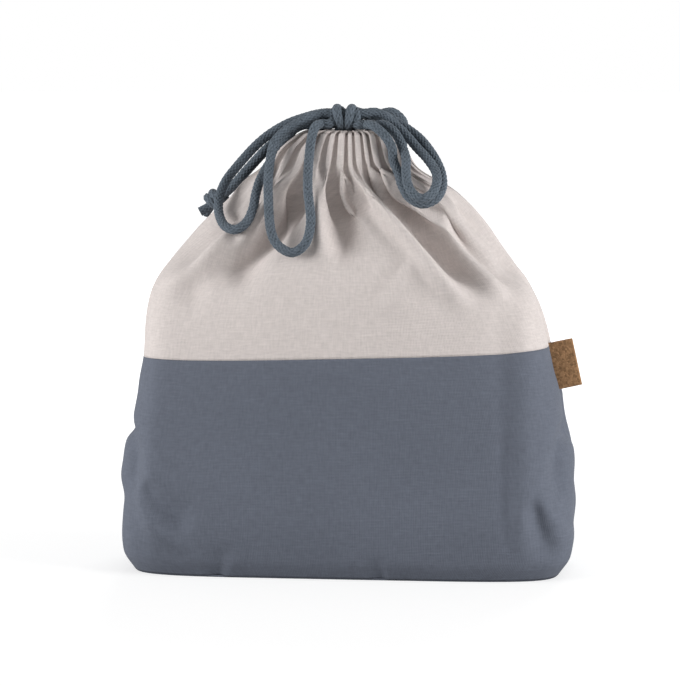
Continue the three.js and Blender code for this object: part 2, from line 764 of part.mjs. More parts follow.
function addBowKnot() {
  const bevelled = { bevelSize: KNOT_BEVEL, bevelThickness: KNOT_BEVEL, bevelSegments: 2 };
  const depth = KNOT_DEPTH - 2 * KNOT_BEVEL;
  const height = KNOT_HEIGHT - 2 * KNOT_BEVEL;
  const corner = KNOT_CORNER - KNOT_BEVEL;
  const side = new THREE.Shape();
  side.moveTo(corner, 0);
  side.absarc(depth - corner, corner, corner, -Math.PI / 2, 0, false);
  side.absarc(depth - corner, height - corner, corner, 0, Math.PI / 2, false);
  side.absarc(corner, height - corner, corner, Math.PI / 2, Math.PI, false);
  side.absarc(corner, corner, corner, Math.PI, 1.5 * Math.PI, false);
  side.closePath();
  const knot = new THREE.ExtrudeGeometry(side, {
    depth: KNOT_WIDTH - 2 * KNOT_BEVEL,
    curveSegments: 3,
    ...bevelled,
  });
  knot.rotateX(Math.PI / 2);
  knot.rotateZ(Math.PI / 2);
  const seat = new THREE.Vector3(KNOT_LEFT + KNOT_BEVEL, 0, KNOT_BOTTOM + KNOT_BEVEL);
  seat.y = KNOT_BACK - KNOT_DEPTH + KNOT_BEVEL;
  knot.translate(seat.x, seat.y, seat.z);
  addPart("bow_knot", knot, cordFinish);
}

function addEndKnot(name, { start, along }) {
  const shoulder = 0.8 * END_KNOT_RADIUS;
  const profile = [
    [0, 0],
    [shoulder, 0],
    [END_KNOT_RADIUS, 0.35 * END_KNOT_LENGTH],
    [END_KNOT_RADIUS, 0.65 * END_KNOT_LENGTH],
    [CUT_END_RADIUS, END_KNOT_LENGTH],
    [CUT_END_RADIUS, END_KNOT_LENGTH + CUT_END_LENGTH],
    [0, END_KNOT_LENGTH + CUT_END_LENGTH],
  ].map(([radius, distance]) => new THREE.Vector2(radius, distance));
  const sides = 10;
  const knot = addPart(name, new THREE.LatheGeometry(profile, sides), cordFinish);
  const way = new THREE.Vector3(...along).normalize();
  knot.quaternion.setFromUnitVectors(new THREE.Vector3(0, 1, 0), way);
  knot.position.set(...start);
}

addBase();
addWalls();
addPart("front_casing", casingGeometry(-1), creamCloth);
addPart("back_casing", casingGeometry(1), creamCloth);
addSeams();
addTag();
addDrawstring({
  name: "left",
  level: UPPER_CORD_LEVEL,
  endsAngle: -Math.PI,
  turn: 1,
  frontLead: LEFT_FRONT_LEAD,
  backLead: LEFT_BACK_LEAD,
});
addDrawstring({
  name: "right",
  level: LOWER_CORD_LEVEL,
  endsAngle: 0,
  turn: -1,
  frontLead: RIGHT_FRONT_LEAD,
  backLead: RIGHT_BACK_LEAD,
});
addBowKnot();
[LEFT_LONG_LOOP, LEFT_SIDE_LOOP, RIGHT_FRONT_LOOP, RIGHT_BACK_LOOP].forEach(addLoop);
[LEFT_TAIL_FRONT, LEFT_TAIL_BACK, RIGHT_TAIL_OUTER, RIGHT_TAIL_INNER].forEach(addTail);
addEndKnot("left_end_knot", LEFT_END_KNOT);
addEndKnot("right_end_knot", RIGHT_END_KNOT);

export default bag;
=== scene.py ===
"""A gathered cotton lunch bag: folded canvas, braided cords, a cork tag and a plain stage."""

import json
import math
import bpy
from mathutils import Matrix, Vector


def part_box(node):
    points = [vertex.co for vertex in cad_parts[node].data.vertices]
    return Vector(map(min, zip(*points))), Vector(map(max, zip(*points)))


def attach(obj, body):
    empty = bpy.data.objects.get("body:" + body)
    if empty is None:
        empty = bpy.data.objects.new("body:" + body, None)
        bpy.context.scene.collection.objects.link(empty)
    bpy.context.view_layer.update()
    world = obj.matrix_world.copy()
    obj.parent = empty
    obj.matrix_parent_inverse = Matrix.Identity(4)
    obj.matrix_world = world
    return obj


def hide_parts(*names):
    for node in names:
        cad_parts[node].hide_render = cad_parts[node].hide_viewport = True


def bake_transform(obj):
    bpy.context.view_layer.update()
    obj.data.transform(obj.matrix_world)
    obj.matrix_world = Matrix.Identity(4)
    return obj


bl_info = {
    "name": "Gathered Lunch Bag",
    "version": (1, 0, 0),
    "blender": (4, 5, 0),
    "location": "3D View > Sidebar > Lunch Bag",
    "description": "Builds a gathered lunch bag around its frame",
    "category": "Add Mesh",
}

from collections import namedtuple

import bmesh
import bpy
import numpy as np
from bpy.props import FloatProperty, FloatVectorProperty, IntProperty, PointerProperty
from mathutils import Vector, noise

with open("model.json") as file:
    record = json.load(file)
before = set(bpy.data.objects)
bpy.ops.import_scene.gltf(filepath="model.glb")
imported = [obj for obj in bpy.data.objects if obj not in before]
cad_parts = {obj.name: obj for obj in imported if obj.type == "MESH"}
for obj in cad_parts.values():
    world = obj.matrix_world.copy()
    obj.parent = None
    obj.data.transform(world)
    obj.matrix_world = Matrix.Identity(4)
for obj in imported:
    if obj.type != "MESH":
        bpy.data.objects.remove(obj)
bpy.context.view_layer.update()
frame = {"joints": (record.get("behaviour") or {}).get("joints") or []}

# The wall's level sections, from the foot to the mouth, in metres. A squareness of 2 is an ellipse.
Section = namedtuple("Section", "height half_width half_depth squareness")
FOOT = Section(0.0, 0.112, 0.048, 5.5)
HEEL = Section(0.010, 0.118, 0.053, 5.0)
BELLY = Section(0.034, 0.1195, 0.056, 4.5)
WAIST = Section(0.072, 0.1155, 0.056, 4.0)
BAND = Section(0.1155, 0.1075, 0.0545, 3.4)
SHOULDER = Section(0.147, 0.101, 0.051, 3.0)
SLOPE = Section(0.176, 0.0805, 0.042, 2.6)
COLLAR = Section(0.199, 0.056, 0.030, 2.3)
NECK = Section(0.212, 0.035, 0.0235, 2.2)
MOUTH = Section(0.230, 0.026, 0.020, 2.2)
SECTIONS = [FOOT, HEEL, BELLY, WAIST, BAND, SHOULDER, SLOPE, COLLAR, NECK, MOUTH]

# Where a value fades in or out, a pair gives the two ends of the fade, in metres of height unless it says
# otherwise.

# The side slits, the seam allowances, and the groove that each side seam draws into the cloth beside it, over
# a share of the half outline
SLIT_HEIGHT = 0.192
SLIT_HALF_WIDTH = 0.0055
SLIT_RISE = (SLIT_HEIGHT, NECK.height - 0.004)
SEAM_WIDTH = 0.010
SIDE_SEAM_THICKNESS = 0.0018
BAND_SEAM_THICKNESS = 0.0008
SEAM_GROOVE = 0.0013
SEAM_GROOVE_SHARE = 0.020
SEAM_GROOVE_FALL = (0.180, SLIT_HEIGHT)
SEAM_FOOT = 0.012
SIDE_SEAM_GAP = 0.0004
BAND_SEAM_GAP = 0.0006

# How far out of the sections the bag's sides stand, by height. The bag is fuller on its left, most of all
# at the front edge beside the slit, and its right shoulder is drawn in.
LEFT_SPREAD = {
    0.116: 0.0,
    0.150: 0.0035,
    0.185: 0.0030,
    0.194: 0.0024,
    0.200: 0.0034,
    0.208: 0.0086,
    0.219: 0.0082,
    0.226: 0.0032,
    0.230: 0.0006,
}
FRONT_EDGE_SPREAD = 0.003
FRONT_EDGE_RISE = (SLIT_HEIGHT, 0.206)
FRONT_EDGE_FALL = (0.222, 0.229)
RIGHT_SPREAD = {
    0.070: 0.0,
    0.095: -0.0012,
    0.116: -0.0030,
    0.135: -0.0052,
    0.150: -0.0064,
    0.165: -0.0058,
    0.180: -0.0034,
    0.194: -0.0008,
    0.200: 0.0,
}

# The rise of the colour change across the bag dies out above and below it
BAND_TILT_RISE = (0.05, BAND.height)
BAND_TILT_FALL = (0.12, 0.175)

# Dents of the lower cloth: their depths, and how fast they follow each other across and up, per metre. There
# are more of them at the sides, by distance from the bag's middle.
DENT_DEPTH = 0.0011
DENT_PACE = (16, 19)
RUCK_DEPTH = 0.0003
SIDE_RUCK_DEPTH = 0.0005
RUCK_PACE = (45, 34)
BUCKLE_DEPTH = 0.00045
BUCKLE_PACE = (30, 210)
SIDE_DENTS = (0.085, 0.115)
DENT_RISE = (0.0, 0.014)
DENT_FALL = (0.10, BAND.height)

# Rows of the cloth: close together round the heel, and evenly spaced above it. The hem folds at the mouth.
HEEL_ROWS = np.linspace(0.0006, 0.012, 7)
LOWER_ROWS = np.linspace(0.015, BAND.height, 35)
UPPER_ROWS = np.linspace(BAND.height, NECK.height, 37)[1:]
HEM_FOLD_HEIGHT = 0.0014
HEM_HALF_WIDTH = 0.005
HEM_END = NECK.height + 0.001

# Where the pleats' valleys lie across the neck, from left to right as seen from the front
FRONT_PLEATS = (
    *(-0.0332, -0.0292, -0.0238, -0.0182, -0.0112, -0.0062),
    *(0.0006, 0.0046, 0.0102, 0.0138, 0.0198, 0.0262, 0.0318),
)
BACK_PLEATS = (
    *(-0.0328, -0.0270, -0.0205, -0.0150, -0.0085, -0.0020),
    *(0.0055, 0.0115, 0.0180, 0.0240, 0.0300),
)

# How far the pleats drift along the half outline, as a share of it, per metre that they run down. They
# differ in depth and in the height at which they die out, lean over near the neck, and fade towards the side
# seams over a share of the half outline.
PLEAT_SWEEP = 3.0
PLEAT_SIZES = (0.55, 1.15)
PLEAT_LOW_ENDS = (0.166, 0.190)
PLEAT_FADE = 0.034
PLEAT_SHARPNESS = 1.2
PLEAT_SINK = 0.1
PLEAT_LEAN = 0.0010
PLEAT_LEAN_RISE = (0.190, NECK.height)
GATHER_RISE = (0.206, NECK.height + 0.002)
PLEAT_SIDE_SHARE = 0.05

# How far the upper cloth is drawn in, so that its crests stay under the cords, and where that starts: by
# height, and by distance from the bag's middle plane. All creases end below the casing.
CREST_ROOM = 0.0025
CREST_RISE = (0.160, 0.180)
CREST_DEPTHS = (0.010, 0.025)
CREASE_FACING = (0.0, 0.012)
CREASE_FALL = (0.194, 0.215)

# Creases of the cloth: places (x, height) from where each starts to where it dies out, the depth of its
# valley, which is a ridge where negative, half its width, and the share of its depth by which the cloth
# stands up beside it, on the right as it runs, or on the left where negative.
Crease = namedtuple("Crease", "places depth width lip")
FRONT_CREASES = (
    Crease(
        (
            (-0.0232, 0.2125),
            (-0.0252, 0.2024),
            (-0.0316, 0.1910),
            (-0.0414, 0.1771),
            (-0.0522, 0.1651),
            (-0.0611, 0.1583),
            (-0.0720, 0.1500),
        ),
        0.0118,
        0.0074,
        0.5,
    ),
    Crease(
        ((-0.0190, 0.1960), (-0.0289, 0.1768), (-0.0383, 0.1695), (-0.0520, 0.1640)),
        -0.0022,
        0.0040,
        0.0,
    ),
    Crease(((-0.0470, 0.2080), (-0.0535, 0.1990), (-0.0640, 0.1890)), 0.0022, 0.0024, 0.0),
    Crease(((-0.0500, 0.1860), (-0.0620, 0.1700), (-0.0780, 0.1520), (-0.0900, 0.1400)), 0.0056, 0.0058, 0.6),
    Crease(
        ((-0.0282, 0.2180), (-0.0330, 0.2110), (-0.0390, 0.2040), (-0.0530, 0.1880)),
        0.0045,
        0.0036,
        -0.5,
    ),
    Crease(
        ((-0.0108, 0.2150), (-0.0078, 0.2067), (-0.0047, 0.1934), (-0.0013, 0.1791), (0.0040, 0.1580)),
        0.0105,
        0.0068,
        0.5,
    ),
    Crease(((-0.0053, 0.2150), (-0.0031, 0.2057), (-0.0014, 0.2006), (0.0010, 0.1910)), 0.0036, 0.0028, 0.0),
    Crease(((0.0010, 0.2150), (0.0042, 0.2042), (0.0073, 0.1965), (0.0115, 0.1870)), 0.0045, 0.0032, 0.0),
    Crease(
        (
            (0.0052, 0.2235),
            (0.0094, 0.2119),
            (0.0188, 0.2037),
            (0.0303, 0.1924),
            (0.0429, 0.1797),
            (0.0563, 0.1649),
            (0.0679, 0.1546),
            (0.0790, 0.1440),
        ),
        0.0150,
        0.0070,
        0.5,
    ),
    Crease(((0.0160, 0.2203), (0.0210, 0.2139), (0.0269, 0.2067), (0.0360, 0.1970)), 0.0050, 0.0036, 0.4),
    Crease(((0.0508, 0.1931), (0.0649, 0.1787), (0.0806, 0.1621), (0.0950, 0.1460)), 0.0062, 0.0056, 0.6),
    Crease(((0.0518, 0.2013), (0.0660, 0.1878), (0.0798, 0.1743), (0.0970, 0.1520)), 0.0042, 0.0036, 0.5),
    Crease(((0.0375, 0.1650), (0.0300, 0.1510), (0.0215, 0.1370)), -0.0020, 0.0060, 0.6),
    Crease(
        ((-0.0560, 0.1900), (-0.0648, 0.1789), (-0.0765, 0.1672), (-0.0930, 0.1500)),
        0.0046,
        0.0056,
        -0.6,
    ),
    Crease(((0.0920, 0.006), (0.0925, 0.060), (0.0925, 0.116), (0.0945, 0.180)), -0.0030, 0.0080, -0.35),
    Crease(((-0.0965, 0.000), (-0.098, 0.060), (-0.096, 0.116), (-0.097, 0.165)), -0.0024, 0.0090, 0.0),
    Crease(((-0.120, 0.086), (-0.1105, 0.062), (-0.1115, 0.052), (-0.119, 0.030)), 0.0038, 0.0048, 0.6),
    Crease(((0.120, 0.088), (0.1125, 0.064), (0.1135, 0.052), (0.120, 0.030)), 0.0040, 0.0045, -0.6),
    Crease(((-0.104, 0.052), (-0.092, 0.034), (-0.074, 0.024)), 0.0040, 0.0070, 0.4),
    Crease(((0.098, 0.046), (0.104, 0.026), (0.112, 0.008)), 0.0030, 0.0060, -0.4),
    Crease(((-0.064, -0.006), (-0.062, 0.006), (-0.059, 0.018)), 0.0012, 0.0045, 0.4),
    Crease(((0.022, -0.006), (0.021, 0.005), (0.018, 0.015)), 0.0011, 0.0040, 0.4),
)
BACK_CREASES = (
    Crease(((0.007, 0.222), (0.005, 0.198), (-0.002, 0.166)), 0.0080, 0.0070, -0.3),
    Crease(((-0.010, 0.222), (-0.026, 0.198), (-0.060, 0.158)), 0.0095, 0.0064, -0.6),
    Crease(((0.020, 0.222), (0.032, 0.196), (0.062, 0.156)), 0.0085, 0.0066, 0.5),
    Crease(((0.044, 0.194), (0.064, 0.168), (0.086, 0.146)), 0.0050, 0.0062, 0.5),
    Crease(((-0.046, 0.192), (-0.068, 0.168), (-0.092, 0.144)), 0.0050, 0.0060, -0.5),
    Crease(((0.0955, 0.000), (0.097, 0.060), (0.096, 0.116), (0.096, 0.165)), -0.0032, 0.0080, 0.0),
    Crease(((-0.0955, 0.000), (-0.097, 0.060), (-0.096, 0.116), (-0.096, 0.165)), -0.0032, 0.0080, 0.0),
    Crease(((0.060, 0.062), (0.075, 0.040), (0.090, 0.026)), 0.0034, 0.0080, 0.4),
    Crease(((-0.058, 0.052), (-0.076, 0.036), (-0.092, 0.022)), 0.0036, 0.0080, -0.4),
)

MERGE_DISTANCE = 0.00001
FRONT, BACK = -1, 1
PANELS = {"front_lower": 1, "back_lower": 2, "front_upper": 3, "back_upper": 4}


# Settings


class LUNCHBAG_PG_cloth(bpy.types.PropertyGroup):
    """Sizes and colours of the canvas."""

    columns: IntProperty(name="Columns", description="Faces across each half of the bag", default=150)
    thickness: FloatProperty(
        name="Thickness", description="Thickness of the canvas", default=0.0009, unit="LENGTH"
    )
    band_tilt: FloatProperty(
        name="Band tilt", description="Rise of the colour change across the bag, per metre", default=0.03
    )
    casing_pleat: FloatProperty(
        name="Casing pleat",
        description="Half the depth of a pleat in the casing",
        default=0.0020,
        unit="LENGTH",
    )
    neck_pleat: FloatProperty(
        name="Neck pleat",
        description="Half the greatest depth of a fold below the casing",
        default=0.0034,
        unit="LENGTH",
    )
    hem_dip: FloatProperty(
        name="Hem dip",
        description="How far the mouth's edge dips in each pleat",
        default=0.0016,
        unit="LENGTH",
    )
    thread: FloatProperty(
        name="Thread", description="Distance between threads", default=0.0008, unit="LENGTH"
    )
    cream: FloatVectorProperty(
        name="Cream", description="Upper cloth", default=(0.62, 0.565, 0.543), subtype="COLOR"
    )
    slate: FloatVectorProperty(
        name="Slate", description="Lower cloth", default=(0.127, 0.141, 0.176), subtype="COLOR"
    )


class LUNCHBAG_PG_cord(bpy.types.PropertyGroup):
    """Sizes and colour of the drawstrings."""

    diameter: FloatProperty(
        name="Diameter", description="Outside of the braid", default=0.0052, unit="LENGTH"
    )
    strands: IntProperty(name="Strands", description="Strands of the braid each way round", default=8)
    crossing: FloatProperty(
        name="Crossing", description="Length of cord from crossing to crossing", default=0.0027, unit="LENGTH"
    )
    relief: FloatProperty(
        name="Relief", description="Depth of the braid as a share of the radius", default=0.22
    )
    sides: IntProperty(name="Sides", description="Faces round the cord", default=40)
    step: FloatProperty(
        name="Step", description="Length of a face along the cord", default=0.0005, unit="LENGTH"
    )
    colour: FloatVectorProperty(
        name="Colour", description="Cotton of the cord", default=(0.099, 0.121, 0.146), subtype="COLOR"
    )


class LUNCHBAG_PG_tag(bpy.types.PropertyGroup):
    """Sizes and colour of the cork tag."""

    height: FloatProperty(name="Height", description="Along the seam", default=0.025, unit="LENGTH")
    reach: FloatProperty(
        name="Reach", description="Out from the bend to the fold", default=0.0098, unit="LENGTH"
    )
    caught: FloatProperty(
        name="Caught", description="Length of the ends in the seam", default=0.0064, unit="LENGTH"
    )
    lowered: FloatProperty(
        name="Lowered", description="Down the seam from its seat", default=0.0045, unit="LENGTH"
    )
    layer: FloatProperty(name="Layer", description="Thickness of one layer", default=0.0007, unit="LENGTH")
    granule: FloatProperty(
        name="Granule", description="Size of the cork's grains", default=0.0011, unit="LENGTH"
    )
    colour: FloatVectorProperty(
        name="Colour", description="Cork", default=(0.30, 0.172, 0.088), subtype="COLOR"
    )


class LUNCHBAG_PG_stage(bpy.types.PropertyGroup):
    """The camera, the lights and the floor."""

    azimuth: FloatProperty(
        name="Azimuth", description="Camera's turn to the right", default=math.radians(6), subtype="ANGLE"
    )
    elevation: FloatProperty(
        name="Elevation", description="Camera's height", default=math.radians(6), subtype="ANGLE"
    )
    distance: FloatProperty(name="Distance", description="Camera to the bag", default=1.5, unit="LENGTH")
    field: FloatProperty(
        name="Field", description="View over the longer side", default=math.radians(13.82), subtype="ANGLE"
    )
    target: FloatVectorProperty(
        name="Target", description="What the camera faces", default=(-0.0053, 0.0, 0.118), subtype="XYZ"
    )
    ambient: FloatProperty(name="Ambient", description="Light from all round", default=0.34)
    key: FloatProperty(name="Key", description="Power of the main lamp", default=41.0, unit="POWER")
    back: FloatProperty(name="Back", description="Power of the lamp behind", default=24.0, unit="POWER")
    fill: FloatProperty(name="Fill", description="Power of the lamp opposite", default=38.0, unit="POWER")


# Curves and outlines


def smooth_step(low, high, value):
    share = np.clip((np.asarray(value, float) - low) / (high - low), 0, 1)
    return share * share * (3 - 2 * share)


def smooth_curve(heights, values):
    """A monotone cubic curve through values at given heights, as a function of height."""
    heights = np.array(heights)
    values = np.array(values)
    rises = np.diff(heights)
    slopes = np.diff(values) / rises
    tangents = np.concatenate([[slopes[0]], np.zeros(len(slopes) - 1), [slopes[-1]]])
    for i in range(1, len(slopes)):
        if slopes[i - 1] * slopes[i] > 0:
            before = 2 * rises[i] + rises[i - 1]
            after = rises[i] + 2 * rises[i - 1]
            tangents[i] = (before + after) / (before / slopes[i - 1] + after / slopes[i])

    def at(height):
        height = np.clip(height, heights[0], heights[-1])
        i = int(np.clip(np.searchsorted(heights, height) - 1, 0, len(rises) - 1))
        s = (height - heights[i]) / rises[i]
        start = (1 + 2 * s) * (1 - s) ** 2 * values[i] + s * (1 - s) ** 2 * rises[i] * tangents[i]
        end = s * s * (3 - 2 * s) * values[i + 1] + s * s * (s - 1) * rises[i] * tangents[i + 1]
        return start + end

    return at


def through_sections(field):
    return smooth_curve([each.height for each in SECTIONS], [getattr(each, field) for each in SECTIONS])


half_width_at = through_sections("half_width")
half_depth_at = through_sections("half_depth")
squareness_at = through_sections("squareness")
left_spread_at = smooth_curve(list(LEFT_SPREAD), list(LEFT_SPREAD.values()))
right_spread_at = smooth_curve(list(RIGHT_SPREAD), list(RIGHT_SPREAD.values()))


def half_outline(side, height, inset, slit, columns):
    """Points of the front or back half of a level section, evenly spaced from edge to edge.

    The front runs from left to right and the back from right to left, so that faces point outwards.
    """
    depth = half_depth_at(height) - inset
    trim = math.asin((slit / depth) ** (squareness_at(height) / 2)) if slit else 0.0
    start = -math.pi if side == FRONT else 0.0
    fine_points = 721
    angles = start + np.linspace(trim, math.pi - trim, fine_points)
    power = 2 / squareness_at(height)
    across, along = np.cos(angles), np.sin(angles)
    x = (half_width_at(height) - inset) * np.sign(across) * np.abs(across) ** power
    y = depth * np.sign(along) * np.abs(along) ** power
    length = np.concatenate([[0], np.cumsum(np.hypot(np.diff(x), np.diff(y)))])
    places = np.linspace(0, length[-1], columns + 1)
    return np.column_stack([np.interp(places, length, x), np.interp(places, length, y)])


def outward(points):
    """Level unit vectors that point out of the bag, at each point of a half outline."""
    along = np.gradient(points, axis=0)
    across = np.column_stack([along[:, 1], -along[:, 0]])
    return across / np.linalg.norm(across, axis=1, keepdims=True)


# Cloth


Row = namedtuple("Row", "height inset kind")


def cloth_rows():
    """Rows of the cloth from the foot up to the mouth, over the fold and down inside the casing."""
    rows = [Row(height, 0.0, "lower") for height in (*HEEL_ROWS, *LOWER_ROWS)]
    rows += [Row(height, 0.0, "upper") for height in UPPER_ROWS]
    top = MOUTH.height - HEM_FOLD_HEIGHT
    rows += [Row(height, 0.0, "casing") for height in np.linspace(NECK.height, top, 8)[1:]]
    for turn in np.linspace(0, math.pi, 8)[1:]:
        height = top + HEM_FOLD_HEIGHT * math.sin(turn)
        rows.append(Row(height, HEM_HALF_WIDTH * (1 - math.cos(turn)), "casing"))
    rows += [Row(height, 2 * HEM_HALF_WIDTH, "casing") for height in np.linspace(top, HEM_END, 7)[1:]]
    return rows


def pleat_phase(side, height, columns):
    """A count that rises by one from each valley to the next along a half outline.

    The pleats drift along the outline as they run down.
    """
    line = half_outline(side, NECK.height, 0, SLIT_HALF_WIDTH, columns)
    across = np.linspace(0, 1, columns + 1)
    order = np.argsort(line[:, 0])
    places = FRONT_PLEATS if side == FRONT else BACK_PLEATS
    valleys = np.sort(np.interp(places, line[order, 0], across[order]))
    pitch = 1 / len(places)
    knots = np.concatenate([[valleys[0] - pitch], valleys, [valleys[-1] + pitch]])
    swept = across - PLEAT_SWEEP * max(NECK.height - height, 0)
    return np.interp(swept, knots, np.arange(-1, len(places) + 1))


def slit_at(height):
    return SLIT_HALF_WIDTH * float(smooth_step(*SLIT_RISE, height))


def swollen(points, height, side):
    """A level section of the bag as it stands, fuller on the left and drawn in at the right shoulder."""
    share = points[:, 0] / half_width_at(height)
    above_slit = smooth_step(*FRONT_EDGE_RISE, height) * (1 - smooth_step(*FRONT_EDGE_FALL, height))
    left_spread = left_spread_at(height) + (FRONT_EDGE_SPREAD * above_slit if side == FRONT else 0.0)
    moved = points.copy()
    moved[:, 0] += right_spread_at(height) * np.clip(share, 0, 1) ** 2
    moved[:, 0] -= left_spread * np.clip(-share, 0, 1) ** 2
    return moved


def dents(points, heights):
    """Shallow dents and buckles of the lower cloth, in metres along the wall's normal.

    The numbers added to the heights keep the two noise patterns apart.
    """
    depths = []
    for (x, y), height in zip(points, heights):
        broad = noise.noise(Vector((x * DENT_PACE[0], y * DENT_PACE[0], height * DENT_PACE[1] + 3)))
        fine = noise.noise(Vector((x * RUCK_PACE[0], y * RUCK_PACE[0], height * RUCK_PACE[1] + 9)))
        side = float(smooth_step(*SIDE_DENTS, abs(x)))
        buckle = math.sin(height * BUCKLE_PACE[1] + BUCKLE_PACE[0] * y + 4 * broad) * side
        ruck_depth = RUCK_DEPTH + SIDE_RUCK_DEPTH * side
        depths.append(DENT_DEPTH * broad + ruck_depth * fine + BUCKLE_DEPTH * buckle)
    return np.array(depths)


def half_cloth(side, cloth):
    """Points of one half of the cloth, and its length up from the foot, each by rows and columns."""
    columns = cloth.columns
    random = np.random.default_rng(5 if side == FRONT else 6)
    count = len(FRONT_PLEATS if side == FRONT else BACK_PLEATS)
    sizes = random.uniform(*PLEAT_SIZES, count)
    low_ends = random.uniform(*PLEAT_LOW_ENDS, count)
    across = np.linspace(0, 1, columns + 1)
    seam_fade = smooth_step(0, PLEAT_SIDE_SHARE, across) * smooth_step(0, PLEAT_SIDE_SHARE, 1 - across)
    near_seam = 1 - smooth_step(0, SEAM_GROOVE_SHARE, np.minimum(across, 1 - across))
    folded, smooth = [], []
    for row in cloth_rows():
        slit = slit_at(row.height)
        points = swollen(half_outline(side, row.height, row.inset, slit, columns), row.height, side)
        tilt = cloth.band_tilt * points[:, 0]
        near_band = smooth_step(*BAND_TILT_RISE, row.height) * (1 - smooth_step(*BAND_TILT_FALL, row.height))
        heights = row.height + tilt * near_band
        smooth.append(np.column_stack([points, heights]))
        normals = outward(points)
        if row.kind == "lower":
            shift = dents(points, heights) * smooth_step(*DENT_RISE, row.height)
            shift = shift * (1 - smooth_step(*DENT_FALL, row.height))
            lean = np.zeros(columns + 1)
        else:
            gathered = float(smooth_step(*GATHER_RISE, row.height))
            depth = cloth.neck_pleat * (1 - gathered) + cloth.casing_pleat * gathered
            phase = pleat_phase(side, row.height, columns)
            narrow = 1 - 2 * np.abs(np.sin(math.pi * phase)) ** PLEAT_SHARPNESS
            low_end = np.interp(phase, np.arange(count), low_ends)
            depth = depth * np.interp(phase, np.arange(count), sizes)
            depth = depth * smooth_step(low_end, low_end + PLEAT_FADE, row.height)
            shift = -depth * (narrow + PLEAT_SINK) * seam_fade
            lean = PLEAT_LEAN * smooth_step(*PLEAT_LEAN_RISE, row.height) * np.sin(4 * math.pi * phase)
            lean = lean * seam_fade
            hem = float(smooth_step(NECK.height, MOUTH.height, row.height))
            heights = heights - cloth.hem_dip * hem * np.clip(narrow, 0, 1) * seam_fade
        shift = shift - SEAM_GROOVE * near_seam * (1 - smooth_step(*SEAM_GROOVE_FALL, row.height))
        along = np.column_stack([-normals[:, 1], normals[:, 0]])
        moved = points + normals * shift[:, None] + along * lean[:, None]
        folded.append(np.column_stack([moved, heights]))
    steps = np.linalg.norm(np.diff(np.array(smooth), axis=0), axis=2)
    lengths = np.vstack([np.zeros(columns + 1), np.cumsum(steps, axis=0)])
    return np.array(folded), lengths


def path_length(points):
    return float(np.linalg.norm(np.diff(points, axis=0), axis=1).sum())


def new_grid(columns, rows, half_size, uv_name):
    """A flat grid to be shaped, and its layer of UVs."""
    bm = bmesh.new()
    bm.loops.layers.uv.new(uv_name)
    bmesh.ops.create_grid(bm, x_segments=columns, y_segments=rows, size=half_size, calc_uvs=True)
    return bm, bm.loops.layers.uv[uv_name]


def grid_place(vert, columns, rows):
    """Column and row of a vertex in a new grid of half size 0.5."""
    return round((vert.co.x + 0.5) * columns), round((vert.co.y + 0.5) * rows)


def cloth_grid(cloth, side):
    """One half of the cloth as a grid: rows, side edges and panels as attributes, flat sizes as UVs."""
    rows = cloth_rows()
    folded, lengths = half_cloth(side, cloth)
    bm, uv = new_grid(cloth.columns, len(rows) - 1, 0.5, "cut")
    panel = bm.faces.layers.int.new("panel")
    row_layer = bm.verts.layers.int.new("row")
    edge_layer = bm.verts.layers.int.new("edge")
    name = "front" if side == FRONT else "back"
    place = {vert: grid_place(vert, cloth.columns, len(rows) - 1) for vert in bm.verts}
    for vert, (column, row) in place.items():
        vert.co = folded[row, column]
        vert[row_layer] = row
        at_left = column == (0 if side == FRONT else cloth.columns)
        at_right = column == (cloth.columns if side == FRONT else 0)
        vert[edge_layer] = 1 if at_left else 2 if at_right else 0
    girth = path_length(half_outline(side, BAND.height, 0, 0, cloth.columns))
    for face in bm.faces:
        face.smooth = True
        top = max(place[vert][1] for vert in face.verts)
        part = "lower" if rows[top].kind == "lower" else "upper"
        face[panel] = PANELS[f"{name}_{part}"]
        for loop in face.loops:
            column, row = place[loop.vert]
            loop[uv].uv = (girth * column / cloth.columns, lengths[row, column])
    mesh = bpy.data.meshes.new(f"{name}_cloth")
    bm.to_mesh(mesh)
    bm.free()
    return mesh


def sewn_cloth(cloth):
    """Both halves in one mesh, joined down the sides below the slits."""
    bm = bmesh.new()
    for side in (FRONT, BACK):
        half = cloth_grid(cloth, side)
        bm.from_mesh(half)
        bpy.data.meshes.remove(half)
    edge_layer = bm.verts.layers.int["edge"]
    edges = [vert for vert in bm.verts if vert[edge_layer]]
    bmesh.ops.remove_doubles(bm, verts=edges, dist=MERGE_DISTANCE)
    mesh = bpy.data.meshes.new("cloth")
    bm.to_mesh(mesh)
    bm.free()
    return mesh


def vertex_values(mesh, name):
    values = np.zeros(len(mesh.vertices), np.int32)
    mesh.attributes[name].data.foreach_get("value", values)
    return values


def read_vectors(source, name):
    values = np.zeros(len(source) * 3, np.float32)
    source.foreach_get(name, values)
    return values.reshape(-1, 3).astype(float)


def vertex_places(mesh):
    return read_vectors(mesh.vertices, "co")


def vertex_normals(mesh):
    return read_vectors(mesh.vertex_normals, "vector")


